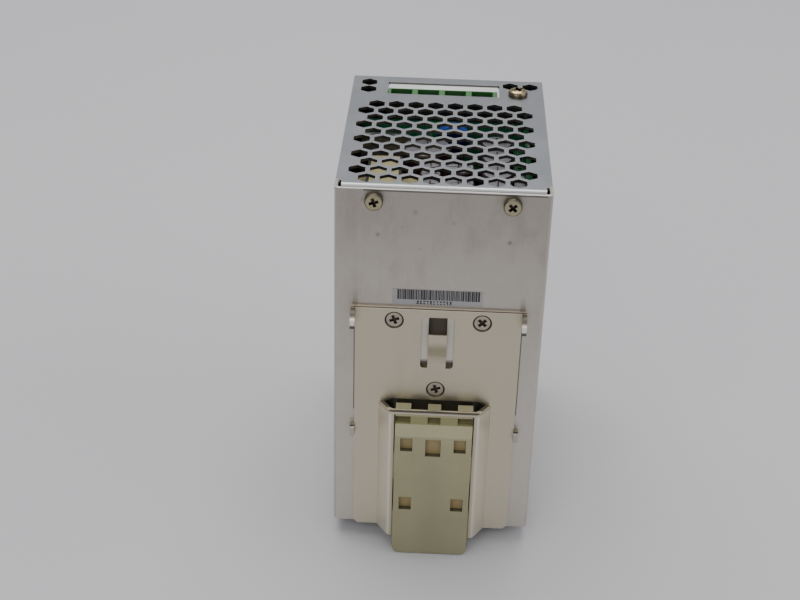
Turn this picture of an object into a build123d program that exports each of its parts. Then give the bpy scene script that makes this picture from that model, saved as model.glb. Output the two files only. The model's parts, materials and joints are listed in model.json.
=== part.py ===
"""DIN rail power supply: sheet metal case, rail bracket with a sliding latch, terminals and electronics.

Frame: millimetres, +Z up, front panel towards -Y, rail bracket towards +Y. The origin is the middle
of the footprint, at the height of the latch's lower end, which is the lowest point.
"""
from build123d import *
import os
from math import cos, pi, sin, sqrt

os.makedirs("parts", exist_ok=True)

# ---------------------------------------------------------------- driving dimensions
WIDTH = 65.5
CASE_HEIGHT = 125.2
CASE_DEPTH = 90.5
CLIP_DEPTH = 9.5            # rear panel to the outer face of the latch
LATCH_DROP = 5.5            # how far the latch hangs below the case
SHEET = 1.0                 # case sheet
BEND = 1.2                  # radius of the cover's middle line at a bend
CHASSIS_BEND = 0.7          # the chassis is bent more sharply
FIT_GAP = 0.1               # gap between sheets that lie against each other
PLATE = 1.2                 # bracket sheet
BRACKET_HALF = 26.0
BRACKET_HEIGHT = 85.1
BULGE_FOOT = 18.2           # half width of the raised channel at the plate
BULGE_FLAT = 13.7           # half width of its flat crown
BULGE_RISE = 7.0            # rear panel to the crown's outer face
MOUTH_HEIGHT = 50.7         # top of the raised channel above the case bottom
WINDOW_HALF = 12.8          # half width of the latch window in the crown
WINDOW_TOP = 49.4
LATCH_HALF = 12.4
VENT_PITCH = 6.58
VENT_ACROSS_FLATS = 5.2
VENT_ROWS = 11
VENT_CENTRE_X = 0.5
VENT_FIRST_Y = -24.8
POLE_PITCH = 9.2
OUTPUT_POLES = 4
INPUT_POLES = 3
OUTPUT_CENTRE_X = 1.95
INPUT_CENTRE_X = 0.0

# ---------------------------------------------------------------- derived places
REAR_Y = (CASE_DEPTH - CLIP_DEPTH) / 2
FRONT_Y = REAR_Y - CASE_DEPTH
HALF = WIDTH / 2
BASE_Z = LATCH_DROP
TOP_Z = BASE_Z + CASE_HEIGHT
MIDDLE = Plane.XY.offset(BASE_Z + CASE_HEIGHT / 2)
INNER_HALF = HALF - SHEET


def rise(height):
    """Height above the case bottom, as a Z value."""
    return BASE_Z + height


def save(part, name):
    """Label a finished piece and write it."""
    part.label = name
    export_step(part, f"parts/{name}.step")


# ---------------------------------------------------------------- fasteners
def screw(head_d, head_h, shank_d, length, countersunk=False, crown=0.42, recess=0.53):
    """One cross-recess screw: head above Z=0, shank below it. A countersunk head lies below Z=0.

    crown is the radius of a pan head's flat top and recess the width of the cross, both over the diameter.
    """
    flat = head_d * crown
    shoulder = head_h * (0.3 + crown)
    bow = sqrt(0.5)
    with BuildPart() as body:
        with BuildSketch(Plane.XZ) as profile:
            with BuildLine():
                if countersunk:
                    Polyline((0, 0), (head_d / 2, 0), (shank_d / 2, -head_h), (shank_d / 2, -length),
                             (0, -length), (0, 0))
                else:
                    Polyline((0, -length), (shank_d / 2, -length), (shank_d / 2, 0), (head_d / 2, 0),
                             (head_d / 2, shoulder))
                    ThreePointArc((head_d / 2, shoulder),
                                  (flat + (head_d / 2 - flat) * bow, shoulder + (head_h - shoulder) * bow),
                                  (flat, head_h))
                    Polyline((flat, head_h), (0, head_h), (0, -length))
            make_face()
        revolve(axis=Axis.Z)
        top = 0 if countersunk else head_h
        with BuildSketch(Plane.XY.offset(top + 0.1)):
            Rectangle(head_d * recess, head_d * recess * 0.32)
            Rectangle(head_d * recess * 0.32, head_d * recess)
        extrude(amount=-head_h * 0.6 - 0.1, taper=6, mode=Mode.SUBTRACT)
    return body.part


def screw_group(one, places, name):
    """Write copies of one screw, as separate solids of one node."""
    with BuildPart() as group:
        with Locations(*[place.location for place in places]):
            add(one)
    save(group.part, name)


def rear_plane(x, height, y=REAR_Y, turned=0.0):
    """A plane on the rear of the case whose Z axis points out of the case, turned by some radians."""
    return Plane(origin=(x, y, rise(height)), x_dir=(-cos(turned), 0, sin(turned)), z_dir=(0, 1, 0))


def side_plane(side, y, height):
    """A plane on one side wall whose Z axis points out of the case."""
    return Plane(origin=(side * HALF, y, rise(height)), x_dir=(0, side, 0), z_dir=(side, 0, 0))


REAR_SCREW_PLACES = [(20.75, 121.95), (-20.75, 121.95)]
BRACKET_SCREW_PLACES = [(13.75, 81.0), (-13.75, 81.0), (0, 55.6)]
REAR_SCREW_TURNS = (0.3, 0.75)
BRACKET_SCREW_TURNS = (0.35, 0.8, 0.3)
SIDE_SCREW_PLACES = [(-38.0, 7.5), (-38.0, 117.7), (28.0, 7.5), (28.0, 117.7)]
TOP_SCREW_PLACE = (-24.0, REAR_Y - 76.8)

# ---------------------------------------------------------------- openings in the case
TERMINAL_SLOT_NEAR = REAR_Y - 74.5
TERMINAL_SLOT_FAR = REAR_Y - 84.7
SLOT_DEPTH = TERMINAL_SLOT_NEAR - TERMINAL_SLOT_FAR
SLOT_MIDDLE_Y = (TERMINAL_SLOT_NEAR + TERMINAL_SLOT_FAR) / 2
OUTPUT_SLOT_WIDTH = 38.3
OUTPUT_SLOT_X = 1.35
INPUT_SLOT_WIDTH = 30.0
FRONT_WINDOW_HEIGHT = 20.0
LED_PLACE = (-22.5, 114.0)
TRIMMER_PLACE = (-25.0, 106.6)
CORNER_VENTS = [(27.1, 84.2), (27.1, 78.0), (-21.6, 84.6), (-28.4, 84.4)]


def vent_centres():
    """Hexagon centres: rows of eight and nine, half a pitch apart."""
    centres = []
    for row in range(VENT_ROWS):
        count = 8 + row % 2
        y = VENT_FIRST_Y + row * VENT_PITCH * sqrt(3) / 2
        start = VENT_CENTRE_X - (count - 1) * VENT_PITCH / 2
        centres += [(start + i * VENT_PITCH, y) for i in range(count)]
    return centres


# ---------------------------------------------------------------- front chassis
CHASSIS_FLANGE = 12.0
FLANGE_Y = REAR_Y - 3.4 - SHEET / 2      # middle of the flange, whose face is 3.4 in front of the rear
SCREW_BOSS_R = 2.4
SIDE_FLANGE_HEIGHT = 12.0
SIDE_FLANGE_SPAN = (-44.0, 32.5)
CORNER_RELIEF = 1.88
RELIEF_START = 7.75
RELIEF_END = 5.6


def make_front_chassis():
    """Front, top and bottom in one bent sheet, with a flange behind the rear panel at each end."""
    half = SHEET / 2
    with BuildPart() as chassis:
        with BuildSketch(Plane.YZ.offset(-HALF)):
            with BuildLine():
                FilletPolyline((FLANGE_Y, BASE_Z + CHASSIS_FLANGE), (FLANGE_Y, BASE_Z + half),
                               (FRONT_Y + half, BASE_Z + half), (FRONT_Y + half, TOP_Z - half),
                               (FLANGE_Y, TOP_Z - half), (FLANGE_Y, TOP_Z - CHASSIS_FLANGE),
                               radius=CHASSIS_BEND)
            trace(line_width=SHEET)
        extrude(amount=WIDTH)
        with BuildSketch(Plane.XY.offset(BASE_Z - 1)):
            for side in (-1, 1):
                with BuildLine():
                    Polyline((side * (HALF + 1), REAR_Y - RELIEF_START), (side * HALF, REAR_Y - RELIEF_START),
                             (side * (HALF - CORNER_RELIEF), REAR_Y - RELIEF_END),
                             (side * (HALF - CORNER_RELIEF), REAR_Y), (side * (HALF + 1), REAR_Y), close=True)
                make_face()
            with Locations(*vent_centres()):
                RegularPolygon(VENT_ACROSS_FLATS / 2, 6, major_radius=False, rotation=30)
        extrude(amount=CASE_HEIGHT + 2, mode=Mode.SUBTRACT)
        with BuildSketch(Plane.XY.offset(TOP_Z - SHEET * 1.5)):
            with Locations(*[(x, REAR_Y - depth) for x, depth in CORNER_VENTS]):
                RegularPolygon(VENT_ACROSS_FLATS / 2, 6, major_radius=False, rotation=30)
            with Locations((OUTPUT_SLOT_X, SLOT_MIDDLE_Y)):
                Rectangle(OUTPUT_SLOT_WIDTH, SLOT_DEPTH)
            with Locations(TOP_SCREW_PLACE):
                Circle(1.6)
        extrude(amount=SHEET * 2, mode=Mode.SUBTRACT)
        with BuildSketch(Plane.XY.offset(BASE_Z - SHEET / 2)):
            with Locations((INPUT_CENTRE_X, SLOT_MIDDLE_Y)):
                Rectangle(INPUT_SLOT_WIDTH, SLOT_DEPTH)
        extrude(amount=SHEET * 2, mode=Mode.SUBTRACT)
        for side in (-1, 1):
            with BuildSketch(Plane.YZ.offset(side * (INNER_HALF - FIT_GAP))):
                for low in (BASE_Z + half, TOP_Z - half - SIDE_FLANGE_HEIGHT):
                    with Locations(((SIDE_FLANGE_SPAN[0] + SIDE_FLANGE_SPAN[1]) / 2, low)):
                        Rectangle(SIDE_FLANGE_SPAN[1] - SIDE_FLANGE_SPAN[0], SIDE_FLANGE_HEIGHT,
                                  align=(Align.CENTER, Align.MIN))
                with Locations(*[(y, rise(height)) for y, height in SIDE_SCREW_PLACES]):
                    Circle(1.75, mode=Mode.SUBTRACT)
            extrude(amount=-side * SHEET)
        window = FRONT_WINDOW_HEIGHT - SHEET - FIT_GAP
        with BuildSketch(Plane.XZ.offset(-FRONT_Y + 1)):
            with Locations((OUTPUT_SLOT_X, TOP_Z - SHEET - FIT_GAP - window / 2)):
                Rectangle(OUTPUT_SLOT_WIDTH + 1.4, window)
            with Locations((INPUT_CENTRE_X, BASE_Z + SHEET + FIT_GAP + window / 2)):
                Rectangle(INPUT_SLOT_WIDTH + 1.4, window)
            with Locations((LED_PLACE[0], rise(LED_PLACE[1]))):
                Circle(1.7)
            with Locations((TRIMMER_PLACE[0], rise(TRIMMER_PLACE[1]))):
                Circle(2.2)
        extrude(amount=-SHEET * 3, mode=Mode.SUBTRACT)
        with BuildSketch(Plane.XZ.offset(-REAR_Y + SHEET + FIT_GAP)):
            with Locations(*[(x, rise(height)) for x, height in REAR_SCREW_PLACES]):
                Circle(SCREW_BOSS_R)
        extrude(amount=SHEET * 2.8)
        with BuildSketch(Plane.XZ.offset(-REAR_Y)):
            with Locations(*[(x, rise(height)) for x, height in REAR_SCREW_PLACES]):
                Circle(1.6)
        extrude(amount=SHEET * 5, mode=Mode.SUBTRACT)
    save(chassis.part, "front_chassis")


# ---------------------------------------------------------------- rear cover
COVER_FRONT_Y = FRONT_Y + SHEET + FIT_GAP
COVER_DROP = 0.2            # the cover's lower edge stands back from the bottom sheet's face
COVER_RISE = 0.35           # its upper edge stands proud of the top sheet
TAB_HALF = 2.9
TAB_HOLE_TOP = 82.1
TAB_HOLE_BOTTOM = 70.0
SPRING_STOP_HEIGHT = 12.0
SPRING_X_HALF = 2.0


def make_rear_cover():
    """Rear panel and both side walls in one bent sheet. The side walls stop short of the top sheet."""
    half = SHEET / 2
    side_x = HALF - half
    with BuildPart() as cover:
        with BuildSketch(Plane.XY.offset(BASE_Z + COVER_DROP)):
            with BuildLine():
                FilletPolyline((-side_x, COVER_FRONT_Y), (-side_x, REAR_Y - half), (side_x, REAR_Y - half),
                               (side_x, COVER_FRONT_Y), radius=BEND)
            trace(line_width=SHEET)
        extrude(amount=CASE_HEIGHT - COVER_DROP + COVER_RISE)
        relief_y = REAR_Y - (RELIEF_START + RELIEF_END) / 2 + FIT_GAP * 3
        for z, lowered in ((BASE_Z + COVER_DROP, SHEET + FIT_GAP - COVER_DROP),
                           (TOP_Z - SHEET - FIT_GAP, SHEET + FIT_GAP + COVER_RISE)):
            with BuildSketch(Plane.XY.offset(z)):
                with Locations((0, (relief_y + COVER_FRONT_Y) / 2)):
                    Rectangle(WIDTH + 1, relief_y - COVER_FRONT_Y + 0.01)
            extrude(amount=lowered, mode=Mode.SUBTRACT)
        chamfer(cover.edges().filter_by(Axis.X).group_by(Axis.Y)[0], 0.7)
        with BuildSketch(Plane.XZ.offset(-REAR_Y)):
            with Locations((0, rise((TAB_HOLE_TOP + TAB_HOLE_BOTTOM) / 2))):
                Rectangle(TAB_HALF * 2, TAB_HOLE_TOP - TAB_HOLE_BOTTOM)
            with Locations(*[(x, rise(height)) for x, height in REAR_SCREW_PLACES + BRACKET_SCREW_PLACES]):
                Circle(1.6)
        extrude(amount=SHEET * 1.2, mode=Mode.SUBTRACT)
        for side in (-1, 1):
            for y, height in SIDE_SCREW_PLACES:
                with BuildSketch(side_plane(side, y, height)):
                    Circle(3.1)
                extrude(amount=-1.3, taper=45, mode=Mode.SUBTRACT)
        with BuildSketch(Plane.XY.offset(rise(SPRING_STOP_HEIGHT) - SHEET)):
            with Locations((0, REAR_Y + 2.3 - half)):
                Rectangle(SPRING_X_HALF * 2, 4.6 + SHEET)
        extrude(amount=SHEET)
    save(cover.part, "rear_cover")


# ---------------------------------------------------------------- DIN rail bracket
PLATE_Y = REAR_Y + PLATE
EAR_REACH = 5.4
EAR_BOTTOM = 79.3
HOOK_OUTER_X = BRACKET_HALF + 1.4
HOOK_SHEET = 1.5
PLATE_CREVICE = 0.3         # chamfer on the plate's side edges, next to the rear panel
EAR_ROOT = 80.2
RAIL_TOP = 82.2             # height of the hooks' ceiling, which sits on the rail's upper edge
SLOT_HALF = 5.2
SLOT_BOTTOM = 63.7
SLOT_TOP = 82.4
NUB_HEIGHT = 38.8
NUB_REACH = 1.6


def bracket_channel():
    """The raised channel: one S-curved band, cut for the latch window."""
    middle = PLATE / 2
    crown_y = REAR_Y + BULGE_RISE - middle
    with BuildPart() as channel:
        with BuildSketch(Plane.XY.offset(BASE_Z)):
            with BuildLine():
                FilletPolyline((-BULGE_FOOT - 0.8, REAR_Y + middle), (-BULGE_FOOT + 0.4, REAR_Y + middle),
                               (-BULGE_FLAT - 0.1, crown_y), (BULGE_FLAT + 0.1, crown_y),
                               (BULGE_FOOT - 0.4, REAR_Y + middle), (BULGE_FOOT + 0.8, REAR_Y + middle),
                               radius=1.15)
            trace(line_width=PLATE)
        extrude(amount=MOUTH_HEIGHT)
        with BuildSketch(Plane.XZ.offset(-REAR_Y - BULGE_RISE - 1)):
            with Locations((0, BASE_Z - 1)):
                Rectangle(WINDOW_HALF * 2, WINDOW_TOP + 1, align=(Align.CENTER, Align.MIN))
        extrude(amount=BULGE_RISE, mode=Mode.SUBTRACT)
    return channel.part


def rail_hook(side):
    """A hook over the rail's upper edge, out from the plate and then down, with the nub below it."""
    tip_y = PLATE_Y + EAR_REACH - PLATE
    with BuildPart() as hook:
        with BuildSketch(Plane.YZ.offset(side * HOOK_OUTER_X)):
            with BuildLine():
                Line((REAR_Y + 0.01, rise(BRACKET_HEIGHT)), (PLATE_Y + 0.8, rise(BRACKET_HEIGHT)))
                ThreePointArc((PLATE_Y + 0.8, rise(BRACKET_HEIGHT)),
                              (PLATE_Y + 3.0, rise(BRACKET_HEIGHT - 1.2)),
                              (tip_y, rise(BRACKET_HEIGHT - 4.0)))
                Line((tip_y, rise(BRACKET_HEIGHT - 4.0)), (tip_y, rise(EAR_BOTTOM + 0.9)))
                ThreePointArc((tip_y, rise(EAR_BOTTOM + 0.9)), (tip_y - 0.85, rise(EAR_BOTTOM)),
                              (tip_y - 1.7, rise(EAR_BOTTOM + 0.9)))
                Polyline((tip_y - 1.7, rise(EAR_BOTTOM + 0.9)), (tip_y - 1.7, rise(RAIL_TOP)),
                         (PLATE_Y + 0.01, rise(RAIL_TOP)), (PLATE_Y + 0.01, rise(EAR_ROOT)),
                         (REAR_Y + 0.01, rise(EAR_ROOT)), (REAR_Y + 0.01, rise(BRACKET_HEIGHT)))
            make_face()
            with Locations((REAR_Y + 0.01, rise(NUB_HEIGHT))):
                RectangleRounded(NUB_REACH + PLATE, 3.6, 0.5, align=(Align.MIN, Align.CENTER))
        extrude(amount=-side * HOOK_SHEET)
    return hook.part


def spring_tab():
    """Curved tongue that leaves the plate at its root and presses on the rail."""
    root_z = rise(SLOT_BOTTOM)
    middle = REAR_Y + PLATE / 2
    with BuildPart() as tab:
        with BuildSketch(Plane.YZ.offset(-TAB_HALF)):
            with BuildLine():
                Spline((middle, root_z), (middle + 0.5, root_z + 4.5), (middle + 3.1, root_z + 10.2),
                       (middle + 3.4, root_z + 14.2), tangents=((0, 1), (-0.22, 1)))
            trace(line_width=PLATE - 0.3)
        extrude(amount=TAB_HALF * 2)
    return tab.part


def make_din_bracket():
    """Flat plate with the raised channel, two rail hooks, two nubs and the spring tab."""
    with BuildPart() as bracket:
        with BuildSketch(Plane.XZ.offset(-REAR_Y)):
            with BuildLine():
                Polyline((-BRACKET_HALF, rise(1.4)), (-BRACKET_HALF + 1.4, rise(0)),
                         (BRACKET_HALF - 1.4, rise(0)), (BRACKET_HALF, rise(1.4)),
                         (BRACKET_HALF, rise(BRACKET_HEIGHT)), (-BRACKET_HALF, rise(BRACKET_HEIGHT)),
                         close=True)
            make_face()
            with BuildLine():
                Polyline((-BULGE_FOOT, rise(-1)), (BULGE_FOOT, rise(-1)), (BULGE_FOOT, rise(49.3)),
                         (BULGE_FLAT, rise(51.5)), (-BULGE_FLAT, rise(51.5)), (-BULGE_FOOT, rise(49.3)),
                         close=True)
            make_face(mode=Mode.SUBTRACT)
            with Locations((0, rise((SLOT_BOTTOM + SLOT_TOP) / 2))):
                RectangleRounded(SLOT_HALF * 2, SLOT_TOP - SLOT_BOTTOM, 1.1, mode=Mode.SUBTRACT)
            with Locations((0, rise(SLOT_BOTTOM + 0.7))):
                Rectangle(TAB_HALF * 2, 1.4)
        extrude(amount=-PLATE)
        back_edges = bracket.edges().group_by(Axis.Y)[0].filter_by(Axis.Z).sort_by(Axis.X)
        chamfer([back_edges[0], back_edges[-1]], PLATE_CREVICE)
        add(bracket_channel())
        add(spring_tab())
        for side in (-1, 1):
            add(rail_hook(side))
        for x, height in BRACKET_SCREW_PLACES:
            with BuildSketch(rear_plane(x, height, PLATE_Y)):
                Circle(3.0)
            extrude(amount=-PLATE, taper=45, mode=Mode.SUBTRACT)
            with BuildSketch(rear_plane(x, height, PLATE_Y)):
                Circle(1.9)
            extrude(amount=-PLATE, mode=Mode.SUBTRACT)
    save(bracket.part, "din_bracket")


# ---------------------------------------------------------------- latch
LATCH_FACE_Y = REAR_Y + CLIP_DEPTH
LATCH_STEP_Y = REAR_Y + 5.5         # where the part inside the channel meets the outer pad
LATCH_BACK_Y = REAR_Y + 0.5
PRONG_TOP = 50.9
PAD_TOP = 49.3
BEVEL_FOOT = 42.6
BEVEL_HEAD = 46.6           # where the bevel turns steeper
NOTCH_SPAN = (46.7, 48.8)
POCKET_DEPTH = 1.8
PRONG_SPANS = [(-12.4, -7.5), (-2.1, 2.1), (7.5, 12.4)]
UPPER_POCKETS = [(-8.6, 39.3, 3.9, 5.1), (0, 38.3, 4.9, 6.6), (8.6, 39.3, 3.9, 5.1)]
LOWER_POCKETS = [(-8.5, 15.6, 4.0, 5.1), (8.5, 15.6, 4.0, 5.1)]
GUIDE_SPANS = [(25.0, 34.5), (-LATCH_DROP + 3.2, 11.5)]
SPRING_POCKET = (9.5, 34.0)
SPRING_AXIS_Y = REAR_Y + 2.9


def make_din_latch():
    """Moulded slider: pad outside the window, slab inside the channel, three prongs under the rail."""
    with BuildPart() as latch:
        with BuildSketch(Plane.XZ.offset(-LATCH_BACK_Y)):
            with Locations((0, 0)):
                Rectangle(LATCH_HALF * 2, rise(PAD_TOP), align=(Align.CENTER, Align.MIN))
        extrude(amount=-(LATCH_FACE_Y - LATCH_BACK_Y))
        fillet(latch.edges().filter_by(Axis.Y).group_by(Axis.Z)[0], 2.4)
        with BuildSketch(Plane.YZ.offset(-LATCH_HALF - 1)):
            with BuildLine():
                Polyline((LATCH_FACE_Y + 1, rise(BEVEL_FOOT)), (LATCH_FACE_Y, rise(BEVEL_FOOT)),
                         (REAR_Y + 8.2, rise(BEVEL_HEAD)), (REAR_Y + 7.0, rise(PAD_TOP)),
                         (LATCH_FACE_Y + 1, rise(PAD_TOP)), close=True)
            make_face()
            with Locations((LATCH_BACK_Y, rise(PAD_TOP))):
                Rectangle(LATCH_STEP_Y - LATCH_BACK_Y, PAD_TOP - 44.0, align=(Align.MIN, Align.MAX))
        extrude(amount=LATCH_HALF * 2 + 2, mode=Mode.SUBTRACT)
        fillet(latch.edges().filter_by(Axis.X).group_by(Axis.Y)[-1], 0.5)
        with BuildSketch(Plane.XZ.offset(-REAR_Y - 2.6)):
            for low, high in PRONG_SPANS:
                with Locations(((low + high) / 2, rise(43.5))):
                    Rectangle(high - low, PRONG_TOP - 43.5, align=(Align.CENTER, Align.MIN))
        extrude(amount=-3.2)
        with BuildSketch(Plane.XZ.offset(-LATCH_STEP_Y - 0.3)):
            for low, high in PRONG_SPANS:
                with Locations(((low + high) / 2, rise(NOTCH_SPAN[0]))):
                    Rectangle(high - low - 0.1, NOTCH_SPAN[1] - NOTCH_SPAN[0],
                              align=(Align.CENTER, Align.MIN))
        extrude(amount=-3.0, mode=Mode.SUBTRACT)
        with BuildSketch(Plane.XZ.offset(-LATCH_FACE_Y)):
            for x, height, wide, tall in UPPER_POCKETS + LOWER_POCKETS:
                with Locations((x, rise(height))):
                    Rectangle(wide, tall)
        extrude(amount=POCKET_DEPTH, taper=2, mode=Mode.SUBTRACT)
        for low, high in GUIDE_SPANS:
            with BuildSketch(Plane.XZ.offset(-LATCH_STEP_Y - 0.5)):
                with Locations((0, rise(low))):
                    Rectangle(WINDOW_HALF * 2 - 0.3, high - low, align=(Align.CENTER, Align.MIN))
            extrude(amount=-2.6)
            with BuildSketch(Plane.XZ.offset(-REAR_Y - 2.4)):
                with Locations((0, rise(low))):
                    Rectangle(LATCH_HALF * 2 + 1.6, high - low, align=(Align.CENTER, Align.MIN))
            extrude(amount=-2.9)
        bottom, top = SPRING_POCKET
        with BuildSketch(Plane.XZ.offset(-LATCH_BACK_Y)):
            with Locations((0, rise(bottom))):
                Rectangle(SPRING_X_HALF * 2 + 1.2, top - bottom, align=(Align.CENTER, Align.MIN))
        extrude(amount=-5.0, mode=Mode.SUBTRACT)
    save(latch.part, "din_latch")


def make_latch_spring():
    """Compression coil between the cover's stop below and the roof of the latch's pocket."""
    wire = 0.45
    bottom = rise(SPRING_STOP_HEIGHT)
    height = rise(SPRING_POCKET[1]) - bottom - 2 * wire
    turns = 11
    with BuildPart() as spring:
        with BuildLine(Plane.XY.offset(bottom + wire).move(Location((0, SPRING_AXIS_Y, 0)))) as path:
            Helix(pitch=height / turns, height=height, radius=1.65)
        with BuildSketch(Plane(origin=path.wires()[0] @ 0, z_dir=path.wires()[0] % 0)):
            Circle(wire / 2)
        sweep(is_frenet=True)
    save(spring.part, "latch_spring")


# ---------------------------------------------------------------- terminal blocks
# Depths below are measured from the rear panel towards the front, as on the rest of the case.
BLOCK_BACK = 70.0
BLOCK_RAISED = 74.7         # the part that stands up into the opening starts here
BLOCK_STEP = 80.2
BLOCK_FRONT = 86.4
BLOCK_TOP = 124.8
BLOCK_SHELF = 123.9         # top of the part that stays under the sheet
BLOCK_LEDGE = 121.3
BLOCK_BOTTOM = 104.0
CHAMBER = (71.4, 81.6, 106.0, 117.6)     # back, front, bottom, top
CHAMBER_HALF = 3.35
FUNNEL_HALF = 3.65
FUNNEL_THROAT_HALF = 2.6
FUNNEL_DEPTHS = (75.45, 79.75)
FUNNEL_FOOT = 120.8
THROAT_DEPTHS = (73.9, 79.75)
SLOT_CLEARANCE = 0.15
SCREW_AXIS_HEIGHT = 111.8
CAGE_BACK = 72.0
CAGE_LENGTH = 7.0
CAGE_WALL = 0.9
CAGE_HALF_WIDTH = 3.05
CAGE_HALF_HEIGHT = 3.6
CONTACT_DEPTHS = (77.3, 78.0)
TERMINAL_SHANK_R = 1.5
TERMINAL_HEAD_R = 2.7
HEAD_DEPTHS = (83.2, 85.4)
DRIVER_HOLE_R = 3.0


def depth_y(depth):
    """Y value at a depth in front of the rear panel."""
    return REAR_Y - depth


def pole_centres(poles, centre_x):
    """X values of the poles of one block."""
    return [centre_x + (i - (poles - 1) / 2) * POLE_PITCH for i in range(poles)]


def place_block(part, at_top):
    """The output block stays at the top of the case; the input block is its mirror image at the bottom."""
    return part if at_top else mirror(part, about=MIDDLE)


def box_between(x0, x1, depth0, depth1, height0, height1):
    """A plain box between two X values, two depths and two heights, made outside any builder."""
    return Pos((x0 + x1) / 2, depth_y((depth0 + depth1) / 2), rise((height0 + height1) / 2)) * Box(
        x1 - x0, depth1 - depth0, height1 - height0, mode=Mode.PRIVATE)


def terminal_block(poles, centre_x, slot_end):
    """Moulded block: a stepped body with a wire funnel, a clamp chamber and a driver hole per pole."""
    half = poles * POLE_PITCH / 2 + 0.45
    with BuildPart() as block:
        with BuildSketch(Plane.YZ.offset(centre_x - half)):
            with BuildLine():
                Polyline((depth_y(BLOCK_BACK), rise(BLOCK_BOTTOM)),
                         (depth_y(BLOCK_FRONT), rise(BLOCK_BOTTOM)),
                         (depth_y(BLOCK_FRONT), rise(BLOCK_LEDGE)), (depth_y(BLOCK_STEP), rise(BLOCK_LEDGE)),
                         (depth_y(BLOCK_STEP), rise(BLOCK_TOP)), (depth_y(BLOCK_RAISED), rise(BLOCK_TOP)),
                         (depth_y(BLOCK_RAISED), rise(BLOCK_SHELF)), (depth_y(BLOCK_BACK), rise(BLOCK_SHELF)),
                         close=True)
            make_face()
        extrude(amount=half * 2)
        end = min(centre_x + half, slot_end - SLOT_CLEARANCE)
        add(box_between(end, end + 1, BLOCK_RAISED - 1, BLOCK_STEP + 1, BLOCK_SHELF, BLOCK_TOP + 1),
            mode=Mode.SUBTRACT)
        back, front, bottom, top = CHAMBER
        for x in pole_centres(poles, centre_x):
            add(box_between(x - CHAMBER_HALF, x + CHAMBER_HALF, back, front, bottom, top), mode=Mode.SUBTRACT)
            add(box_between(x - FUNNEL_THROAT_HALF, x + FUNNEL_THROAT_HALF, *THROAT_DEPTHS, top - 0.1,
                            FUNNEL_FOOT + 0.1), mode=Mode.SUBTRACT)
            add(box_between(x - 2.1, x + 2.1, CONTACT_DEPTHS[0] - 0.05, CONTACT_DEPTHS[1] + 0.05,
                            BLOCK_BOTTOM - 1, bottom + 0.1), mode=Mode.SUBTRACT)
            throat_middle = sum(THROAT_DEPTHS) / 2
            mouth_middle = sum(FUNNEL_DEPTHS) / 2
            with BuildSketch(Plane.XY.offset(rise(BLOCK_TOP + 0.01))):
                with Locations((x, depth_y(mouth_middle))):
                    Rectangle(FUNNEL_HALF * 2, FUNNEL_DEPTHS[1] - FUNNEL_DEPTHS[0])
            with BuildSketch(Plane.XY.offset(rise(FUNNEL_FOOT))):
                with Locations((x, depth_y(throat_middle))):
                    Rectangle(FUNNEL_THROAT_HALF * 2, THROAT_DEPTHS[1] - THROAT_DEPTHS[0])
            loft(mode=Mode.SUBTRACT)
            with BuildSketch(Plane.XZ.offset(-depth_y(BLOCK_FRONT))):
                with Locations((x, rise(SCREW_AXIS_HEIGHT))):
                    Circle(DRIVER_HOLE_R)
            extrude(amount=-(BLOCK_FRONT - HEAD_DEPTHS[0] + 0.15), mode=Mode.SUBTRACT)
            with BuildSketch(Plane.XZ.offset(-depth_y(BLOCK_FRONT))):
                with Locations((x, rise(SCREW_AXIS_HEIGHT))):
                    Circle(TERMINAL_SHANK_R + 0.2)
            extrude(amount=-(BLOCK_FRONT - front + 0.1), mode=Mode.SUBTRACT)
    return block.part


def terminal_cage(x):
    """Rectangular clamp around the wire space; its front wall carries the thread."""
    middle = CAGE_BACK + CAGE_LENGTH / 2
    with BuildPart() as cage:
        with BuildSketch(Plane.XY.offset(rise(SCREW_AXIS_HEIGHT) - CAGE_HALF_HEIGHT)):
            with Locations((x, depth_y(middle))):
                RectangleRounded(CAGE_HALF_WIDTH * 2, CAGE_LENGTH, 0.7)
                RectangleRounded((CAGE_HALF_WIDTH - CAGE_WALL) * 2, CAGE_LENGTH - CAGE_WALL * 2, 0.25,
                                 mode=Mode.SUBTRACT)
        extrude(amount=CAGE_HALF_HEIGHT * 2)
        with BuildSketch(Plane.XZ.offset(-depth_y(middle))):
            with Locations((x, rise(SCREW_AXIS_HEIGHT))):
                Circle(TERMINAL_SHANK_R + 0.15)
        extrude(amount=CAGE_LENGTH, mode=Mode.SUBTRACT)
    return cage.part


def terminal_screw(x):
    """Slotted and crossed clamp screw. It turns in the block and draws the cage forward."""
    front = Plane(origin=(x, depth_y(HEAD_DEPTHS[0]), rise(SCREW_AXIS_HEIGHT)), x_dir=(1, 0, 0),
                  z_dir=(0, -1, 0))
    head = HEAD_DEPTHS[1] - HEAD_DEPTHS[0]
    shank = HEAD_DEPTHS[0] - CONTACT_DEPTHS[1] - 0.06
    with BuildPart() as screw_part:
        with BuildSketch(front):
            Circle(TERMINAL_HEAD_R)
        extrude(amount=head)
        chamfer(screw_part.edges().group_by(Axis.Y)[0], 0.35)
        with BuildSketch(front):
            Circle(TERMINAL_SHANK_R)
        extrude(amount=-shank)
        with BuildSketch(front.offset(head)):
            Rectangle(TERMINAL_HEAD_R * 2 + 1, 0.8)
            Rectangle(0.8, TERMINAL_HEAD_R * 1.2)
        extrude(amount=-1.2, mode=Mode.SUBTRACT)
    return screw_part.part


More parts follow.
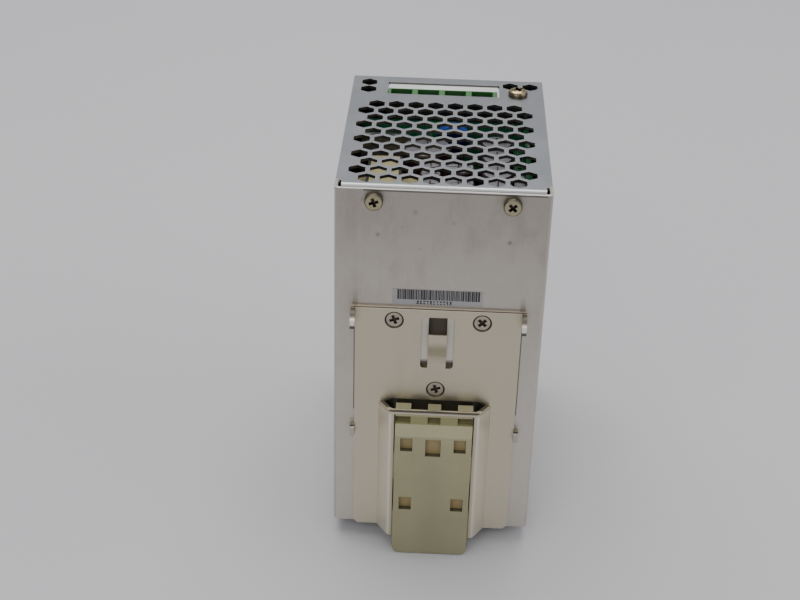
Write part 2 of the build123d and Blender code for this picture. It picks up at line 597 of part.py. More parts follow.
def make_terminals(poles, centre_x, slot_end, at_top, name):
    """One block with its cages, screws and contacts. Each cage and each screw is a node of its own."""
    save(place_block(terminal_block(poles, centre_x, slot_end), at_top), f"{name}_terminal_block")
    with BuildPart() as contacts:
        for x in pole_centres(poles, centre_x):
            add(box_between(x - 1.9, x + 1.9, *CONTACT_DEPTHS, BLOCK_BOTTOM - 3.6, SCREW_AXIS_HEIGHT + 3.4))
    save(place_block(contacts.part, at_top), f"{name}_contacts")
    for number, x in enumerate(pole_centres(poles, centre_x), start=1):
        save(place_block(terminal_cage(x), at_top), f"{name}_clamp_{number}")
        save(place_block(terminal_screw(x), at_top), f"{name}_screw_{number}")


GUARD_GAP = 0.12
GUARD_TOP = 124.6
GUARD_SHEET_TOP = 123.95
GUARD_FACE = 89.9
GUARD_BOTTOM = 105.2


def terminal_guard(poles, centre_x, slot_x, slot_width):
    """White moulded insulator: a strip over the block's ledge, a face in the front window, one arm."""
    half = poles * POLE_PITCH / 2 + 0.45
    slot_half = slot_width / 2
    left = slot_x - slot_half + 0.35
    right = slot_x + slot_half - 0.3
    with BuildPart() as guard:
        with BuildSketch(Plane.YZ.offset(left)):
            with BuildLine():
                Polyline((depth_y(BLOCK_STEP + GUARD_GAP), rise(BLOCK_LEDGE + GUARD_GAP)),
                         (depth_y(BLOCK_FRONT + GUARD_GAP), rise(BLOCK_LEDGE + GUARD_GAP)),
                         (depth_y(BLOCK_FRONT + GUARD_GAP), rise(GUARD_BOTTOM)),
                         (depth_y(GUARD_FACE), rise(GUARD_BOTTOM)),
                         (depth_y(GUARD_FACE), rise(GUARD_SHEET_TOP)),
                         (depth_y(84.5), rise(GUARD_SHEET_TOP)), (depth_y(84.5), rise(GUARD_TOP)),
                         (depth_y(BLOCK_STEP + GUARD_GAP), rise(GUARD_TOP)), close=True)
            make_face()
        extrude(amount=right - left)
        add(box_between(left, centre_x - half - GUARD_GAP, BLOCK_RAISED, BLOCK_STEP + 0.5, BLOCK_LEDGE + 0.2,
                        GUARD_TOP))
        for x in pole_centres(poles, centre_x):
            with BuildSketch(Plane.XZ.offset(-depth_y(GUARD_FACE))):
                with Locations((x, rise(SCREW_AXIS_HEIGHT))):
                    Circle(DRIVER_HOLE_R)
            extrude(amount=-(GUARD_FACE - BLOCK_FRONT + 1), mode=Mode.SUBTRACT)
    return guard.part


# ---------------------------------------------------------------- boards
BOARD = 1.6
MAIN_BOARD_X = -27.6        # outer face of the main board, towards its side wall
OUTPUT_BOARD_HEIGHT = 100.6
FILTER_BOARD_HEIGHT = 84.0
INDICATOR_DEPTH = 80.0
RISER_DEPTH = 68.2
RISER_TOP = 117.9


def make_boards():
    """Main board on its side wall, a board under each terminal block and the filter board."""
    with BuildPart() as main_board:
        with BuildSketch(Plane.YZ.offset(MAIN_BOARD_X)):
            with Locations((depth_y(43), rise(62.6))):
                Rectangle(72, 114)
            with Locations(*BOARD_POST_PLACES):
                Circle(1.7, mode=Mode.SUBTRACT)
        extrude(amount=BOARD)
    save(main_board.part, "main_board")
    for at_top, centre_x, poles, name in ((True, OUTPUT_CENTRE_X, OUTPUT_POLES, "output_board"),
                                          (False, INPUT_CENTRE_X, INPUT_POLES, "input_board")):
        with BuildPart() as board:
            add(box_between(MAIN_BOARD_X + BOARD + 0.2, 29.0, 66.0, 87.5,
                            OUTPUT_BOARD_HEIGHT, OUTPUT_BOARD_HEIGHT + BOARD))
            for x in pole_centres(poles, centre_x):
                add(box_between(x - 2.0, x + 2.0, CONTACT_DEPTHS[0] - 0.1, CONTACT_DEPTHS[1] + 0.1,
                                OUTPUT_BOARD_HEIGHT - 1, OUTPUT_BOARD_HEIGHT + BOARD + 1), mode=Mode.SUBTRACT)
        save(place_block(board.part, at_top), name)
    with BuildPart() as filter_board:
        add(box_between(MAIN_BOARD_X + BOARD + 0.2, 29.0, 9.0, 66.0, FILTER_BOARD_HEIGHT,
                        FILTER_BOARD_HEIGHT + BOARD))
    save(filter_board.part, "filter_board")
    with BuildPart() as indicator_board:
        add(box_between(-29.5, -19.6, INDICATOR_DEPTH, INDICATOR_DEPTH + BOARD,
                        OUTPUT_BOARD_HEIGHT + BOARD + 0.1, 118.0))
    save(indicator_board.part, "indicator_board")
    with BuildPart() as riser_board:
        add(box_between(MAIN_BOARD_X + BOARD + 0.2, 29.0, RISER_DEPTH, RISER_DEPTH + BOARD,
                        OUTPUT_BOARD_HEIGHT + BOARD + 0.1, RISER_TOP))
    save(riser_board.part, "riser_board")


BOARD_POST_PLACES = [(depth_y(9.5), rise(18.0)), (depth_y(74), rise(30.0)),
                     (depth_y(12), rise(105.0)), (depth_y(74), rise(95.0))]
POST_R = 2.6


def make_board_fixings():
    """Threaded posts on the side wall, the screws into them and the insulation sheet round them."""
    with BuildPart() as posts:
        with BuildSketch(Plane.YZ.offset(-INNER_HALF + 0.02)):
            with Locations(*BOARD_POST_PLACES):
                Circle(POST_R)
                Circle(1.25, mode=Mode.SUBTRACT)
        extrude(amount=MAIN_BOARD_X + INNER_HALF - 0.04)
    save(posts.part, "board_posts")
    one = screw(5.6, 2.0, 2.4, 5.0)
    places = [Plane(origin=(MAIN_BOARD_X + BOARD + 0.02, y, z), x_dir=(0, 1, 0), z_dir=(1, 0, 0))
              for y, z in BOARD_POST_PLACES]
    screw_group(one, places, "board_screws")
    with BuildPart() as sheet:
        with BuildSketch(Plane.YZ.offset(-INNER_HALF + 0.1)):
            with Locations((depth_y(45.5), rise(62.6))):
                RectangleRounded(84, 98, 3)
            with Locations(*BOARD_POST_PLACES):
                Circle(POST_R + 0.5, mode=Mode.SUBTRACT)
        extrude(amount=0.35)
    save(sheet.part, "insulation_sheet")


# ---------------------------------------------------------------- parts on the boards
MAIN_FACE_X = MAIN_BOARD_X + BOARD
LEAD_GAP = 0.15


def radial_capacitor(diameter, height):
    """Aluminium can on Z=0 with a rolled groove near its foot and a pressed vent cross on top."""
    radius = diameter / 2
    groove = radius - 0.45
    with BuildPart() as can:
        with BuildSketch(Plane.XZ):
            with BuildLine():
                Polyline((0, 0), (radius - 0.4, 0), (radius, 0.4), (radius, 1.6), (groove, 2.2),
                         (radius, 2.8), (radius, height - 0.5), (radius - 0.5, height), (0, height), (0, 0))
            make_face()
        revolve(axis=Axis.Z)
        with BuildSketch(Plane.XY.offset(height)):
            Rectangle(radius * 1.5, 0.4)
            Rectangle(0.4, radius * 1.5)
        extrude(amount=-0.2, mode=Mode.SUBTRACT)
    return can.part


OUTPUT_CAPACITOR_PLACES = [(-17.0, 56.0), (-17.0, 44.8), (-17.0, 33.6), (-4.5, 36.5), (-4.5, 25.0),
                           (-17.0, 22.4)]
SLIM_CAPACITOR_PLACES = [(4.4, 38.4), (4.4, 30.8), (4.4, 23.2)]
RESERVOIR_PLACE = (6.0, 51.0)


def make_capacitors():
    """Output cans on the filter board, the bulk can, the film block and the two blue discs."""
    board_top = rise(FILTER_BOARD_HEIGHT + BOARD) + LEAD_GAP
    small = radial_capacitor(10.4, 31.0)
    with BuildPart() as output_cans:
        with Locations(*[Location((x, depth_y(depth), board_top)) for x, depth in OUTPUT_CAPACITOR_PLACES]):
            add(small)
        with Locations(*[Location((x, depth_y(depth), board_top)) for x, depth in SLIM_CAPACITOR_PLACES]):
            add(radial_capacitor(7.0, 31.0))
    save(output_cans.part, "output_capacitors")
    with BuildPart() as reservoir:
        with Locations(Location((RESERVOIR_PLACE[0], depth_y(RESERVOIR_PLACE[1]), board_top))):
            add(radial_capacitor(16.0, 31.0))
    save(reservoir.part, "output_reservoir_capacitor")
    with BuildPart() as bulk:
        lying = Plane(origin=(MAIN_FACE_X + LEAD_GAP, depth_y(27), rise(26)), z_dir=(1, 0, 0))
        with Locations(lying.location):
            add(radial_capacitor(30.0, 45.0))
    save(bulk.part, "bulk_capacitor")
    with BuildPart() as film:
        add(box_between(MAIN_FACE_X + LEAD_GAP, MAIN_FACE_X + 15, 54, 72, 33, 49))
        fillet(film.edges(), 0.8)
    save(film.part, "line_film_capacitor")
    with BuildPart() as discs:
        for x, depth, height in ((-2.5, 61.0, 115.0), (-16.0, 63.2, 92.0)):
            with BuildSketch(Plane.XZ.offset(-depth_y(depth))):
                with Locations((x, rise(height))):
                    Circle(5.6)
            extrude(amount=3.6)
        fillet(discs.edges(), 1.5)
    save(discs.part, "disc_capacitors")


def make_transformer():
    """Ferrite frame with a centre leg and the wound bobbin round that leg."""
    centre_y = depth_y(27)
    low = rise(86)
    with BuildPart() as core:
        with BuildSketch(Plane.YZ.offset(13.7)):
            with Locations((centre_y, low + 15.6)):
                Rectangle(34, 29)
            with Locations((centre_y - 10.2, low + 15.6), (centre_y + 10.2, low + 15.6)):
                Rectangle(8.6, 20, mode=Mode.SUBTRACT)
        extrude(amount=11)
        fillet(core.edges().filter_by(Axis.X).group_by(Axis.Z)[-1], 0.8)
    save(core.part, "transformer_core")
    with BuildPart() as winding:
        with BuildSketch(Plane.XY.offset(low + 5.8)):
            with Locations((19.2, centre_y)):
                RectangleRounded(22, 28.2, 4)
                Rectangle(11.4, 12.2, mode=Mode.SUBTRACT)
        extrude(amount=19.6)
        fillet(winding.edges().group_by(Axis.Z)[-1], 0.5)
    save(winding.part, "transformer_winding")


def ring_with_bands(origin, ring_r, hole_r, width, swell):
    """A toroid's core and, as a second part, the wire turns around it, simplified to one coat."""
    with BuildPart() as core:
        with BuildSketch(Plane(origin=origin, z_dir=(1, 0, 0))):
            Circle(ring_r)
            Circle(hole_r, mode=Mode.SUBTRACT)
        extrude(amount=width)
        fillet(core.edges(), 0.8)
    turns = []
    count = 22
    for i in range(count):
        angle = (i + 0.5) * 2 * pi / count
        if abs(sin(angle)) < 0.2:
            continue
        middle_r = (ring_r + hole_r) / 2
        out = Vector(0, cos(angle), sin(angle))
        centre = Vector(*origin) + Vector(width / 2, 0, 0) + out * middle_r
        along = out.cross(Vector(1, 0, 0))
        with BuildPart() as turn:
            with BuildSketch(Plane(origin=centre - along * swell / 2, x_dir=(1, 0, 0), z_dir=along)):
                RectangleRounded(width + 2 * swell + 0.1, ring_r - hole_r + 2 * swell + 0.1, swell)
                RectangleRounded(width + 0.1, ring_r - hole_r + 0.1, 0.3, mode=Mode.SUBTRACT)
            extrude(amount=swell)
        turns.append(turn.part)
    with BuildPart() as winding:
        for turn_part in turns:
            add(turn_part)
    return core.part, winding.part


def make_inductors():
    """Line choke low on the main board and the output inductor under the filter board."""
    choke_core, choke_wire = ring_with_bands((MAIN_FACE_X + 1.6, depth_y(66), rise(68)), 11.0, 5.5, 9.0, 1.1)
    save(choke_core, "line_choke_core")
    save(choke_wire, "line_choke_winding")
    coil_core, coil_wire = ring_with_bands((MAIN_FACE_X + 1.6, depth_y(27), rise(66)), 12.0, 6.0, 10.0, 1.1)
    save(coil_core, "output_inductor_core")
    save(coil_wire, "output_inductor_winding")


def make_power_parts():
    """Finned heat sink plates with the transistors and diodes clipped to them, the bridge and the fuse."""
    with BuildPart() as sinks:
        add(box_between(MAIN_FACE_X + 0.3, 22.0, 48.0, 50.0, 10.0, 60.0))
        for fin in range(5):
            fin_x = MAIN_FACE_X + 6 + fin * 8
            add(box_between(fin_x, fin_x + 1.2, 44.0, 48.01, 12.0, 58.0))
    save(sinks.part, "primary_heat_sink")
    with BuildPart() as top_sink:
        add(box_between(12.0, 28.6, 62.0, 63.6, FILTER_BOARD_HEIGHT + BOARD + 0.1, 115.5))
        fillet(top_sink.edges().filter_by(Axis.Y), 1.0)
    save(top_sink.part, "output_heat_sink")
    with BuildPart() as transistors:
        for height in (20.0, 38.0):
            add(box_between(MAIN_FACE_X + 8, MAIN_FACE_X + 24, 50.05, 54.0 - 0.2, height, height + 10.4))
    save(transistors.part, "switching_transistors")
    with BuildPart() as diodes:
        for x in (14.6, 21.4):
            add(box_between(x, x + 6.2, 57.4, 61.95, 92.0, 108.0))
    save(diodes.part, "output_diodes")
    with BuildPart() as bridge:
        add(box_between(MAIN_FACE_X + 4, MAIN_FACE_X + 22, 58.0, 61.6, 10.0, 28.0))
        fillet(bridge.edges().filter_by(Axis.Y), 1.0)
    save(bridge.part, "bridge_rectifier")
    with BuildPart() as fuse:
        with BuildSketch(Plane.XY.offset(rise(36.0))):
            with Locations((MAIN_FACE_X + 4.2, depth_y(76.2))):
                Circle(2.6)
        extrude(amount=20.0)
        chamfer(fuse.edges(), 0.3)
    save(fuse.part, "line_fuse")


def make_indicators():
    """Output trimmer body and its turning rotor, and the status lamp, on the indicator board."""
    face = INDICATOR_DEPTH + BOARD
    x, height = TRIMMER_PLACE
    lamp_x, lamp_height = LED_PLACE
    with BuildPart() as body:
        add(box_between(x - 3.2, x + 3.2, face + 0.02, face + 4.6, height - 3.2, height + 3.2))
        with BuildSketch(Plane.XZ.offset(-depth_y(face + 4.6))):
            with Locations((x, rise(height))):
                Circle(1.85)
        extrude(amount=-3.0, mode=Mode.SUBTRACT)
    save(body.part, "trimmer_body")
    with BuildPart() as rotor:
        with BuildSketch(Plane.XZ.offset(-depth_y(face + 1.8))):
            with Locations((x, rise(height))):
                Circle(1.6)
        extrude(amount=6.6)
        with BuildSketch(Plane.XZ.offset(-depth_y(face + 8.4))):
            with Locations((x, rise(height))):
                Rectangle(4, 0.6)
                Rectangle(0.6, 2.0)
        extrude(amount=-1.0, mode=Mode.SUBTRACT)
    save(rotor.part, "trimmer_rotor")
    with BuildPart() as lamp:
        with BuildSketch(Plane.XZ.offset(-depth_y(face + 0.05))):
            with Locations((lamp_x, rise(lamp_height))):
                Circle(1.9)
        extrude(amount=1.0)
        with BuildSketch(Plane.XZ.offset(-depth_y(face + 1.05))):
            with Locations((lamp_x, rise(lamp_height))):
                Circle(1.5)
        extrude(amount=6.9)
        fillet(lamp.edges().group_by(Axis.Y)[0], 1.2)
    save(lamp.part, "status_lamp")


def make_labels():
    """Barcode sticker on the rear panel and the printed sheet on the front panel."""
    with BuildPart() as barcode:
        with BuildSketch(Plane.XZ.offset(-REAR_Y)):
            with Locations((0.5, rise(89.0))):
                Rectangle(28.0, 5.4)
        extrude(amount=-0.1)
    save(barcode.part, "barcode_label")
    with BuildPart() as front:
        with BuildSketch(Plane.XZ.offset(-FRONT_Y)):
            with Locations((0, rise(62.6))):
                RectangleRounded(58.0, 72.0, 1.5)
        extrude(amount=0.12)
    save(front.part, "front_label")


def make_screws():
    """Every case and bracket screw, one node for each kind and place."""
    rear = screw(5.6, 2.0, 2.8, 6.0)
    places = [rear_plane(x, height, REAR_Y + 0.02, turned)
              for (x, height), turned in zip(REAR_SCREW_PLACES, REAR_SCREW_TURNS)]
    screw_group(rear, places, "rear_screws")
    flush = screw(5.2, 1.05, 2.8, 4.4, countersunk=True, recess=0.62)
    places = [rear_plane(x, height, PLATE_Y - 0.3, turned)
              for (x, height), turned in zip(BRACKET_SCREW_PLACES, BRACKET_SCREW_TURNS)]
    screw_group(flush, places, "bracket_screws")
    ground = screw(6.6, 2.3, 2.9, 6.0, crown=0.15, recess=0.55)
    x, y = TOP_SCREW_PLACE
    screw_group(ground, [Plane(origin=(x, y, TOP_Z + 0.02), x_dir=(cos(0.5), sin(0.5), 0))], "earth_screw")
    flush_side = screw(6.0, 1.0, 2.8, 3.6, countersunk=True)
    places = [side_plane(side, y, height) for side in (-1, 1) for y, height in SIDE_SCREW_PLACES]
    screw_group(flush_side, places, "side_screws")


make_front_chassis()
make_rear_cover()
make_din_bracket()
make_din_latch()
make_latch_spring()
make_terminals(OUTPUT_POLES, OUTPUT_CENTRE_X, OUTPUT_SLOT_X + OUTPUT_SLOT_WIDTH / 2, True, "output")
make_terminals(INPUT_POLES, INPUT_CENTRE_X, INPUT_CENTRE_X + INPUT_SLOT_WIDTH / 2, False, "input")
save(terminal_guard(OUTPUT_POLES, OUTPUT_CENTRE_X, OUTPUT_SLOT_X, OUTPUT_SLOT_WIDTH), "output_guard")
save(place_block(terminal_guard(INPUT_POLES, INPUT_CENTRE_X, INPUT_CENTRE_X, INPUT_SLOT_WIDTH), False),
     "input_guard")
make_boards()
make_board_fixings()
make_capacitors()
make_transformer()
make_inductors()
make_power_parts()
make_indicators()
make_labels()
make_screws()
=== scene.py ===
"""Looks of the din rail power supply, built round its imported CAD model. Metres, row frame."""

import json
import math
import random

import bmesh
import bpy
from mathutils import Matrix, Vector


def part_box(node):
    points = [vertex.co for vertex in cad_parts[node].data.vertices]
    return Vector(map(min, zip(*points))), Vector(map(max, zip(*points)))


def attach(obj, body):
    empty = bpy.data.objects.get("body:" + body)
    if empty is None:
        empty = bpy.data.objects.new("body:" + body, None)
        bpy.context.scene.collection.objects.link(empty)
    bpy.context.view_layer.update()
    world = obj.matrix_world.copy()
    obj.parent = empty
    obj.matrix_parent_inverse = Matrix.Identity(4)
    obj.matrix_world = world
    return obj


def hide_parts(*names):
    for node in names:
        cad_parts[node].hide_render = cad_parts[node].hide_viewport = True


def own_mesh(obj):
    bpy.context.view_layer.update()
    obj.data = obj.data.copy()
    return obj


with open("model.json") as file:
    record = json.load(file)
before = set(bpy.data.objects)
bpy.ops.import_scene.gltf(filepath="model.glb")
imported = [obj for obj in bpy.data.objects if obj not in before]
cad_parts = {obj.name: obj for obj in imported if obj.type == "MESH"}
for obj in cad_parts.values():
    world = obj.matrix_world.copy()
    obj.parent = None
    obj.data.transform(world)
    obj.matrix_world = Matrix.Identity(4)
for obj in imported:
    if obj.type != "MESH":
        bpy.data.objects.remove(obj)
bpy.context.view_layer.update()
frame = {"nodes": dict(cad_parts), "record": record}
NODES = frame["nodes"]
MM = 0.001
REAR_Y = 40.5                # rear panel, millimetres
FRONT_Y = -50.0
BASE_Z = 5.5
TOP_Z = 130.7


def rise(height):
    """Height above the case bottom, as a Z value in millimetres."""
    return BASE_Z + height


# ------------------------------------------------------------------ material helpers
class Finish:
    """A Principled material with short calls for the procedural nodes that feed it."""

    def __init__(self, name, color=(0.5, 0.5, 0.5), rough=0.5, metal=0.0):
        self.mat = bpy.data.materials.new(name)
        self.mat.use_nodes = True
        self.tree = self.mat.node_tree
        self.bsdf = self.tree.nodes["Principled BSDF"]
        self.coords = self.tree.nodes.new("ShaderNodeTexCoord").outputs["Object"]
        self.set("Base Color", (*color, 1))
        self.set("Roughness", rough)
        self.set("Metallic", metal)

    def set(self, socket, value):
        if isinstance(value, bpy.types.NodeSocket):
            self.tree.links.new(value, self.bsdf.inputs[socket])
        else:
            self.bsdf.inputs[socket].default_value = value

    def node(self, kind, inputs=None, out=0, **props):
        n = self.tree.nodes.new("ShaderNode" + kind)
        for key, value in props.items():
            setattr(n, key, value)
        for key, value in (inputs or {}).items():
            if isinstance(value, bpy.types.NodeSocket):
                self.tree.links.new(value, n.inputs[key])
            else:
                n.inputs[key].default_value = value
        return n.outputs[out]

    def stretched(self, scale):
        return self.node("Mapping", {"Vector": self.coords, "Scale": scale})

    def noise(self, scale, detail=4.0, rough=0.55, stretch=None, distort=0.0):
        vector = self.coords if stretch is None else self.stretched(stretch)
        return self.node("TexNoise", {"Vector": vector, "Scale": scale, "Detail": detail,
                                      "Roughness": rough, "Distortion": distort})

    def cells(self, scale, out="Distance"):
        return self.node("TexVoronoi", {"Vector": self.coords, "Scale": scale}, out=out)

    def remap(self, value, low, high, to_low=0.0, to_high=1.0):
        return self.node("MapRange", {"Value": value, "From Min": low, "From Max": high, "To Min": to_low,
                                      "To Max": to_high})

    def math(self, kind, a, b=0.0):
        return self.node("Math", {0: a, 1: b}, operation=kind)

    def mix(self, factor, a, b):
        values = {0: factor, 6: a, 7: b}
        for index in (6, 7):
            if isinstance(values[index], tuple):
                values[index] = (*values[index][:3], 1)
        return self.node("Mix", values, out=2, data_type="RGBA")

    def axis(self, name, vector=None):
        return self.node("SeparateXYZ", {0: vector or self.coords}, out=name)

    def facing(self, name):
        return self.axis(name, self.node("NewGeometry", out="Normal"))

    def faces(self, name, least):
        """1 where the surface normal's share along an axis is more than the least."""
        return self.math("GREATER_THAN", self.facing(name), least)

    def within(self, value, low, high):
        """1 between two values, 0 outside."""
        return self.math("MULTIPLY", self.math("GREATER_THAN", value, low), self.math("LESS_THAN", value, high))

    def region(self, **ranges):
        """1 inside a box given by ranges in millimetres on X, Y or Z."""
        mask = 1.0
        for name, (low, high) in ranges.items():
            mask = self.math("MULTIPLY", mask, self.within(self.axis(name), low * MM, high * MM))
        return mask

    def beside(self, low, high):
        """1 on both sides of the middle plane, between two distances in millimetres."""
        return self.within(self.math("ABSOLUTE", self.axis("X")), low * MM, high * MM)

    def fade(self, start, end, at_start=0.0, at_end=1.0):
        """A blend between two heights over the case bottom in millimetres."""
        return self.remap(self.axis("Z"), rise(start) * MM, rise(end) * MM, at_start, at_end)

    def both(self, *masks):
        product = masks[0]
        for mask in masks[1:]:
            product = self.math("MULTIPLY", product, mask)
        return product

    def spot(self, centre, radius, soft):
        """1 near a point in millimetres, fading to 0 at the radius, with a ragged edge."""
        place = self.node("VectorMath", {0: self.coords, 1: tuple(c * MM for c in centre)}, operation="DISTANCE",
                          out="Value")
        ragged = self.math("ADD", place, self.math("MULTIPLY", self.noise(900, 3), soft * MM))
        return self.remap(ragged, radius * MM, (radius + soft) * MM, 1.0, 0.0)

    def nearest(self, axes, centres):
        """Distance to the nearest of some centres, given in millimetres on two axes."""
        distance = None
        for centre in centres:
            squares = [self.math("POWER", self.math("SUBTRACT", self.axis(a), c * MM), 2.0)
                       for a, c in zip(axes, centre)]
            here = self.math("SQRT", self.math("ADD", *squares))
            distance = here if distance is None else self.math("MINIMUM", distance, here)
        return distance

    def layers(self, color, marks):
        """Paint marks, each a mask, a strength and a colour, over a colour in order."""
        for mask, strength, paint in marks:
            color = self.mix(mask if strength == 1 else self.math("MULTIPLY", mask, strength), color, paint)
        return color

    def bump(self, height, strength, distance=0.0001, radius=0.0):
        inputs = {"Height": height, "Strength": strength, "Distance": distance}
        if radius:
            inputs["Normal"] = self.node("Bevel", {"Radius": radius}, samples=4)
        self.set("Normal", self.node("Bump", inputs))

    def edges(self, radius):
        """0 on faces, up to 1 beside sharp edges."""
        rounded = self.node("Bevel", {"Radius": radius}, samples=4)
        flat = self.node("NewGeometry", out="Normal")
        dot = self.node("VectorMath", {0: rounded, 1: flat}, out="Value", operation="DOT_PRODUCT")
        return self.remap(dot, 0.995, 0.80)


def sheet_metal(name, light, dark, rough, spangle=0.35, grain=(1, 1, 0.06), smudge=0.5, edge=(0.74, 0.72, 0.67),
                masks=None, streak=0.25):
    """Plated sheet: cloudy plating, fine spangle, rolling grain, faint stains, and edges blended to an edge
    colour as wear and painted highlight.
    """
    f = Finish(name, metal=1.0)
    clouds = f.noise(38, 5, 0.6)
    tone = f.axis("X", f.cells(620, out="Color"))
    rolled = f.noise(1500, 3, 0.6, stretch=grain)
    fine = f.noise(2600, 2, 0.5)
    shade = f.math("ADD", f.math("MULTIPLY", clouds, 0.55), f.math("MULTIPLY", tone, spangle * 0.3))
    shade = f.math("ADD", shade, f.math("MULTIPLY", rolled, streak))
    color = f.mix(f.remap(shade, 0.25, 0.75), dark, light)
    stain = f.remap(f.noise(17, 6, 0.68, distort=0.6), 0.52, 0.72, 0.0, smudge)
    color = f.mix(stain, color, tuple(c * k for c, k in zip(dark, (0.93, 0.88, 0.80))))
    # edges blend to the edge colour: worn burrs and a painted highlight, painted shade where a dark edge colour
    # is given
    color = f.mix(f.math("MULTIPLY", f.edges(0.00022), 0.6), color, edge)
    f.set("Base Color", f.layers(color, masks(f) if masks else []))
    patch = f.math("ADD", f.math("MULTIPLY", clouds, 0.16), f.math("MULTIPLY", tone, spangle * 0.10))
    f.set("Roughness", f.math("ADD", f.math("ADD", patch, f.math("MULTIPLY", rolled, 0.06)), rough - 0.14))
    height = f.math("ADD", f.math("MULTIPLY", rolled, 0.6), f.math("MULTIPLY", fine, 0.4))
    f.bump(height, 0.08, 0.00004, radius=0.00012)
    return f


def plastic(name, color, rough=0.42, tint=0.08, grain=1500, radius=0.00018, bump=0.12, masks=None):
    """Moulded plastic: soft flow clouds, fine spark texture and softened edges."""
    f = Finish(name, color, rough)
    clouds = f.noise(60, 4, 0.6)
    light = tuple(min(1, c * (1 + tint)) for c in color)
    dark = tuple(c * (1 - tint) for c in color)
    shade = f.mix(f.remap(clouds, 0.3, 0.7), dark, light)
    f.set("Base Color", f.layers(shade, masks(f) if masks else []))
    texture = f.noise(grain, 3, 0.6)
    f.set("Roughness", f.remap(f.math("ADD", clouds, texture), 0.6, 1.4, rough - 0.07, rough + 0.09))
    f.bump(texture, bump, 0.00003, radius=radius)
    return f


# ------------------------------------------------------------------ sheet metal finishes
PANEL = (40.2, 41)           # Y range round the rear panel's outer face, millimetres
PANEL_SKIN = (40.3, 41)      # the same, with less of the bends and hole walls
PLATE = (41.5, 41.9)         # Y range round the bracket plate's outer face
SLOT_SIDES = (2.9, 5.4)      # the two slots beside the sprung tab, from the middle
REAR_SCREWS = [(20.75, rise(121.95)), (-20.75, rise(121.95))]
BRACKET_SCREWS = [(13.75, rise(81.0)), (-13.75, rise(81.0)), (0, rise(55.6))]


def cover_marks(f):
    """Painted shade inside, in the channel, at the slot ends and by the bracket; painted light, a painted rim
    highlight, painted hook reflections; wear, scuffs, stains and flecks.
    """
    panel = f.region(Y=PANEL)
    inside = f.region(X=(-31.9, 31.9), Y=(-48.9, 39.7), Z=(6.6, 129.6))
    channel = f.region(X=(-17.4, 17.4), Y=(39.9, 41), Z=(0, rise(51.5)))
    scuffs = f.math("MAXIMUM", f.spot((19.4, REAR_Y, rise(110.4)), 0.5, 1.1),
                    f.spot((-20.6, REAR_Y, rise(109.2)), 0.4, 1.3))
    worn = f.both(f.remap(f.noise(52, 5, 0.7, stretch=(1.6, 1, 0.7)), 0.47, 0.64), panel,
                  f.remap(f.axis("Z"), 0.08, 0.125, 0.3, 1.0))
    # painted highlight along the top rim; rim_shade below it is painted shade
    rim = f.region(Z=(130.98, 131.2), Y=(39.4, 40.6))
    rim_shade = f.region(X=(-31, 24), Y=PANEL_SKIN, Z=(130.4, 130.98))
    # painted shade on the panel beside the bracket's side edges
    flank = f.both(f.region(Y=PANEL_SKIN, Z=(rise(46), rise(85))), f.beside(26.0, 26.45))
    # painted reflection of the hooks: a dark streak on the panel above each
    hook_reflection = f.both(f.region(Y=PANEL_SKIN), f.beside(25.2, 26.8),
                      f.math("GREATER_THAN", f.axis("Z"), rise(85.2) * MM), f.fade(85.2, 91.5, 1.0, 0.0))
    # painted shadow line on the panel just above the bracket's head
    head_shadow_line = f.region(X=(-27, 27), Y=PANEL_SKIN, Z=(rise(85.75), rise(86.15)))
    flecks = f.spot((8.3, REAR_Y, rise(118.3)), 0.5, 1.4)
    for place, size in (((-3.3, REAR_Y, rise(115.2)), 0.3), ((6.5, REAR_Y, rise(106.0)), 0.25),
                        ((24.0, REAR_Y, rise(122.0)), 0.5), ((12.0, REAR_Y, rise(113.0)), 0.2)):
        flecks = f.math("MAXIMUM", flecks, f.spot(place, size, 1.2))
    blotch = f.spot((-27.5, REAR_Y, rise(112.5)), 1.5, 4.0)
    # painted light on the panel seen through the slots beside the tab
    slots = f.both(f.region(Y=PANEL, Z=(rise(66.4), rise(84))), f.beside(*SLOT_SIDES))
    # painted shade at the bottom ends of the slots
    slot_ends = f.both(f.region(Y=PANEL, Z=(rise(63), rise(66.4))), f.beside(*SLOT_SIDES), f.fade(66.4, 65.2))
    # painted shade: the first mark darkens the panel towards the top
    return [(f.both(f.fade(60, 125, 0.0, 0.42), f.region(Y=(39, 41))), 1, (0.42, 0.385, 0.345)),
            (worn, 0.5, (0.35, 0.30, 0.24)),
            (scuffs, 0.85, (0.12, 0.105, 0.09)),
            (inside, 0.72, (0.09, 0.085, 0.075)),
            (channel, 0.8, (0.06, 0.055, 0.05)),
            # painted shade: the panel darkens further towards the top
            (f.both(f.fade(96, 122, 0.0, 0.42), panel), 1, (0.33, 0.305, 0.265)),
            (slots, 0.4, (0.80, 0.75, 0.665)),
            # painted light: the panel lightens towards the bottom, as if lit from the floor
            (f.both(f.fade(80, 30, 0.0, 0.4), panel), 1, (0.70, 0.67, 0.615)),
            (slot_ends, 0.9, (0.06, 0.05, 0.04)),
            (flecks, 0.4, (0.15, 0.125, 0.10)),
            (blotch, 0.3, (0.27, 0.27, 0.27)),
            (rim, 0.8, (0.86, 0.84, 0.80)),
            (rim_shade, 0.7, (0.10, 0.09, 0.08)),
            (flank, 0.75, (0.10, 0.085, 0.06)),
            (hook_reflection, 0.4, (0.14, 0.12, 0.09)),
            (head_shadow_line, 0.5, (0.22, 0.19, 0.14))]


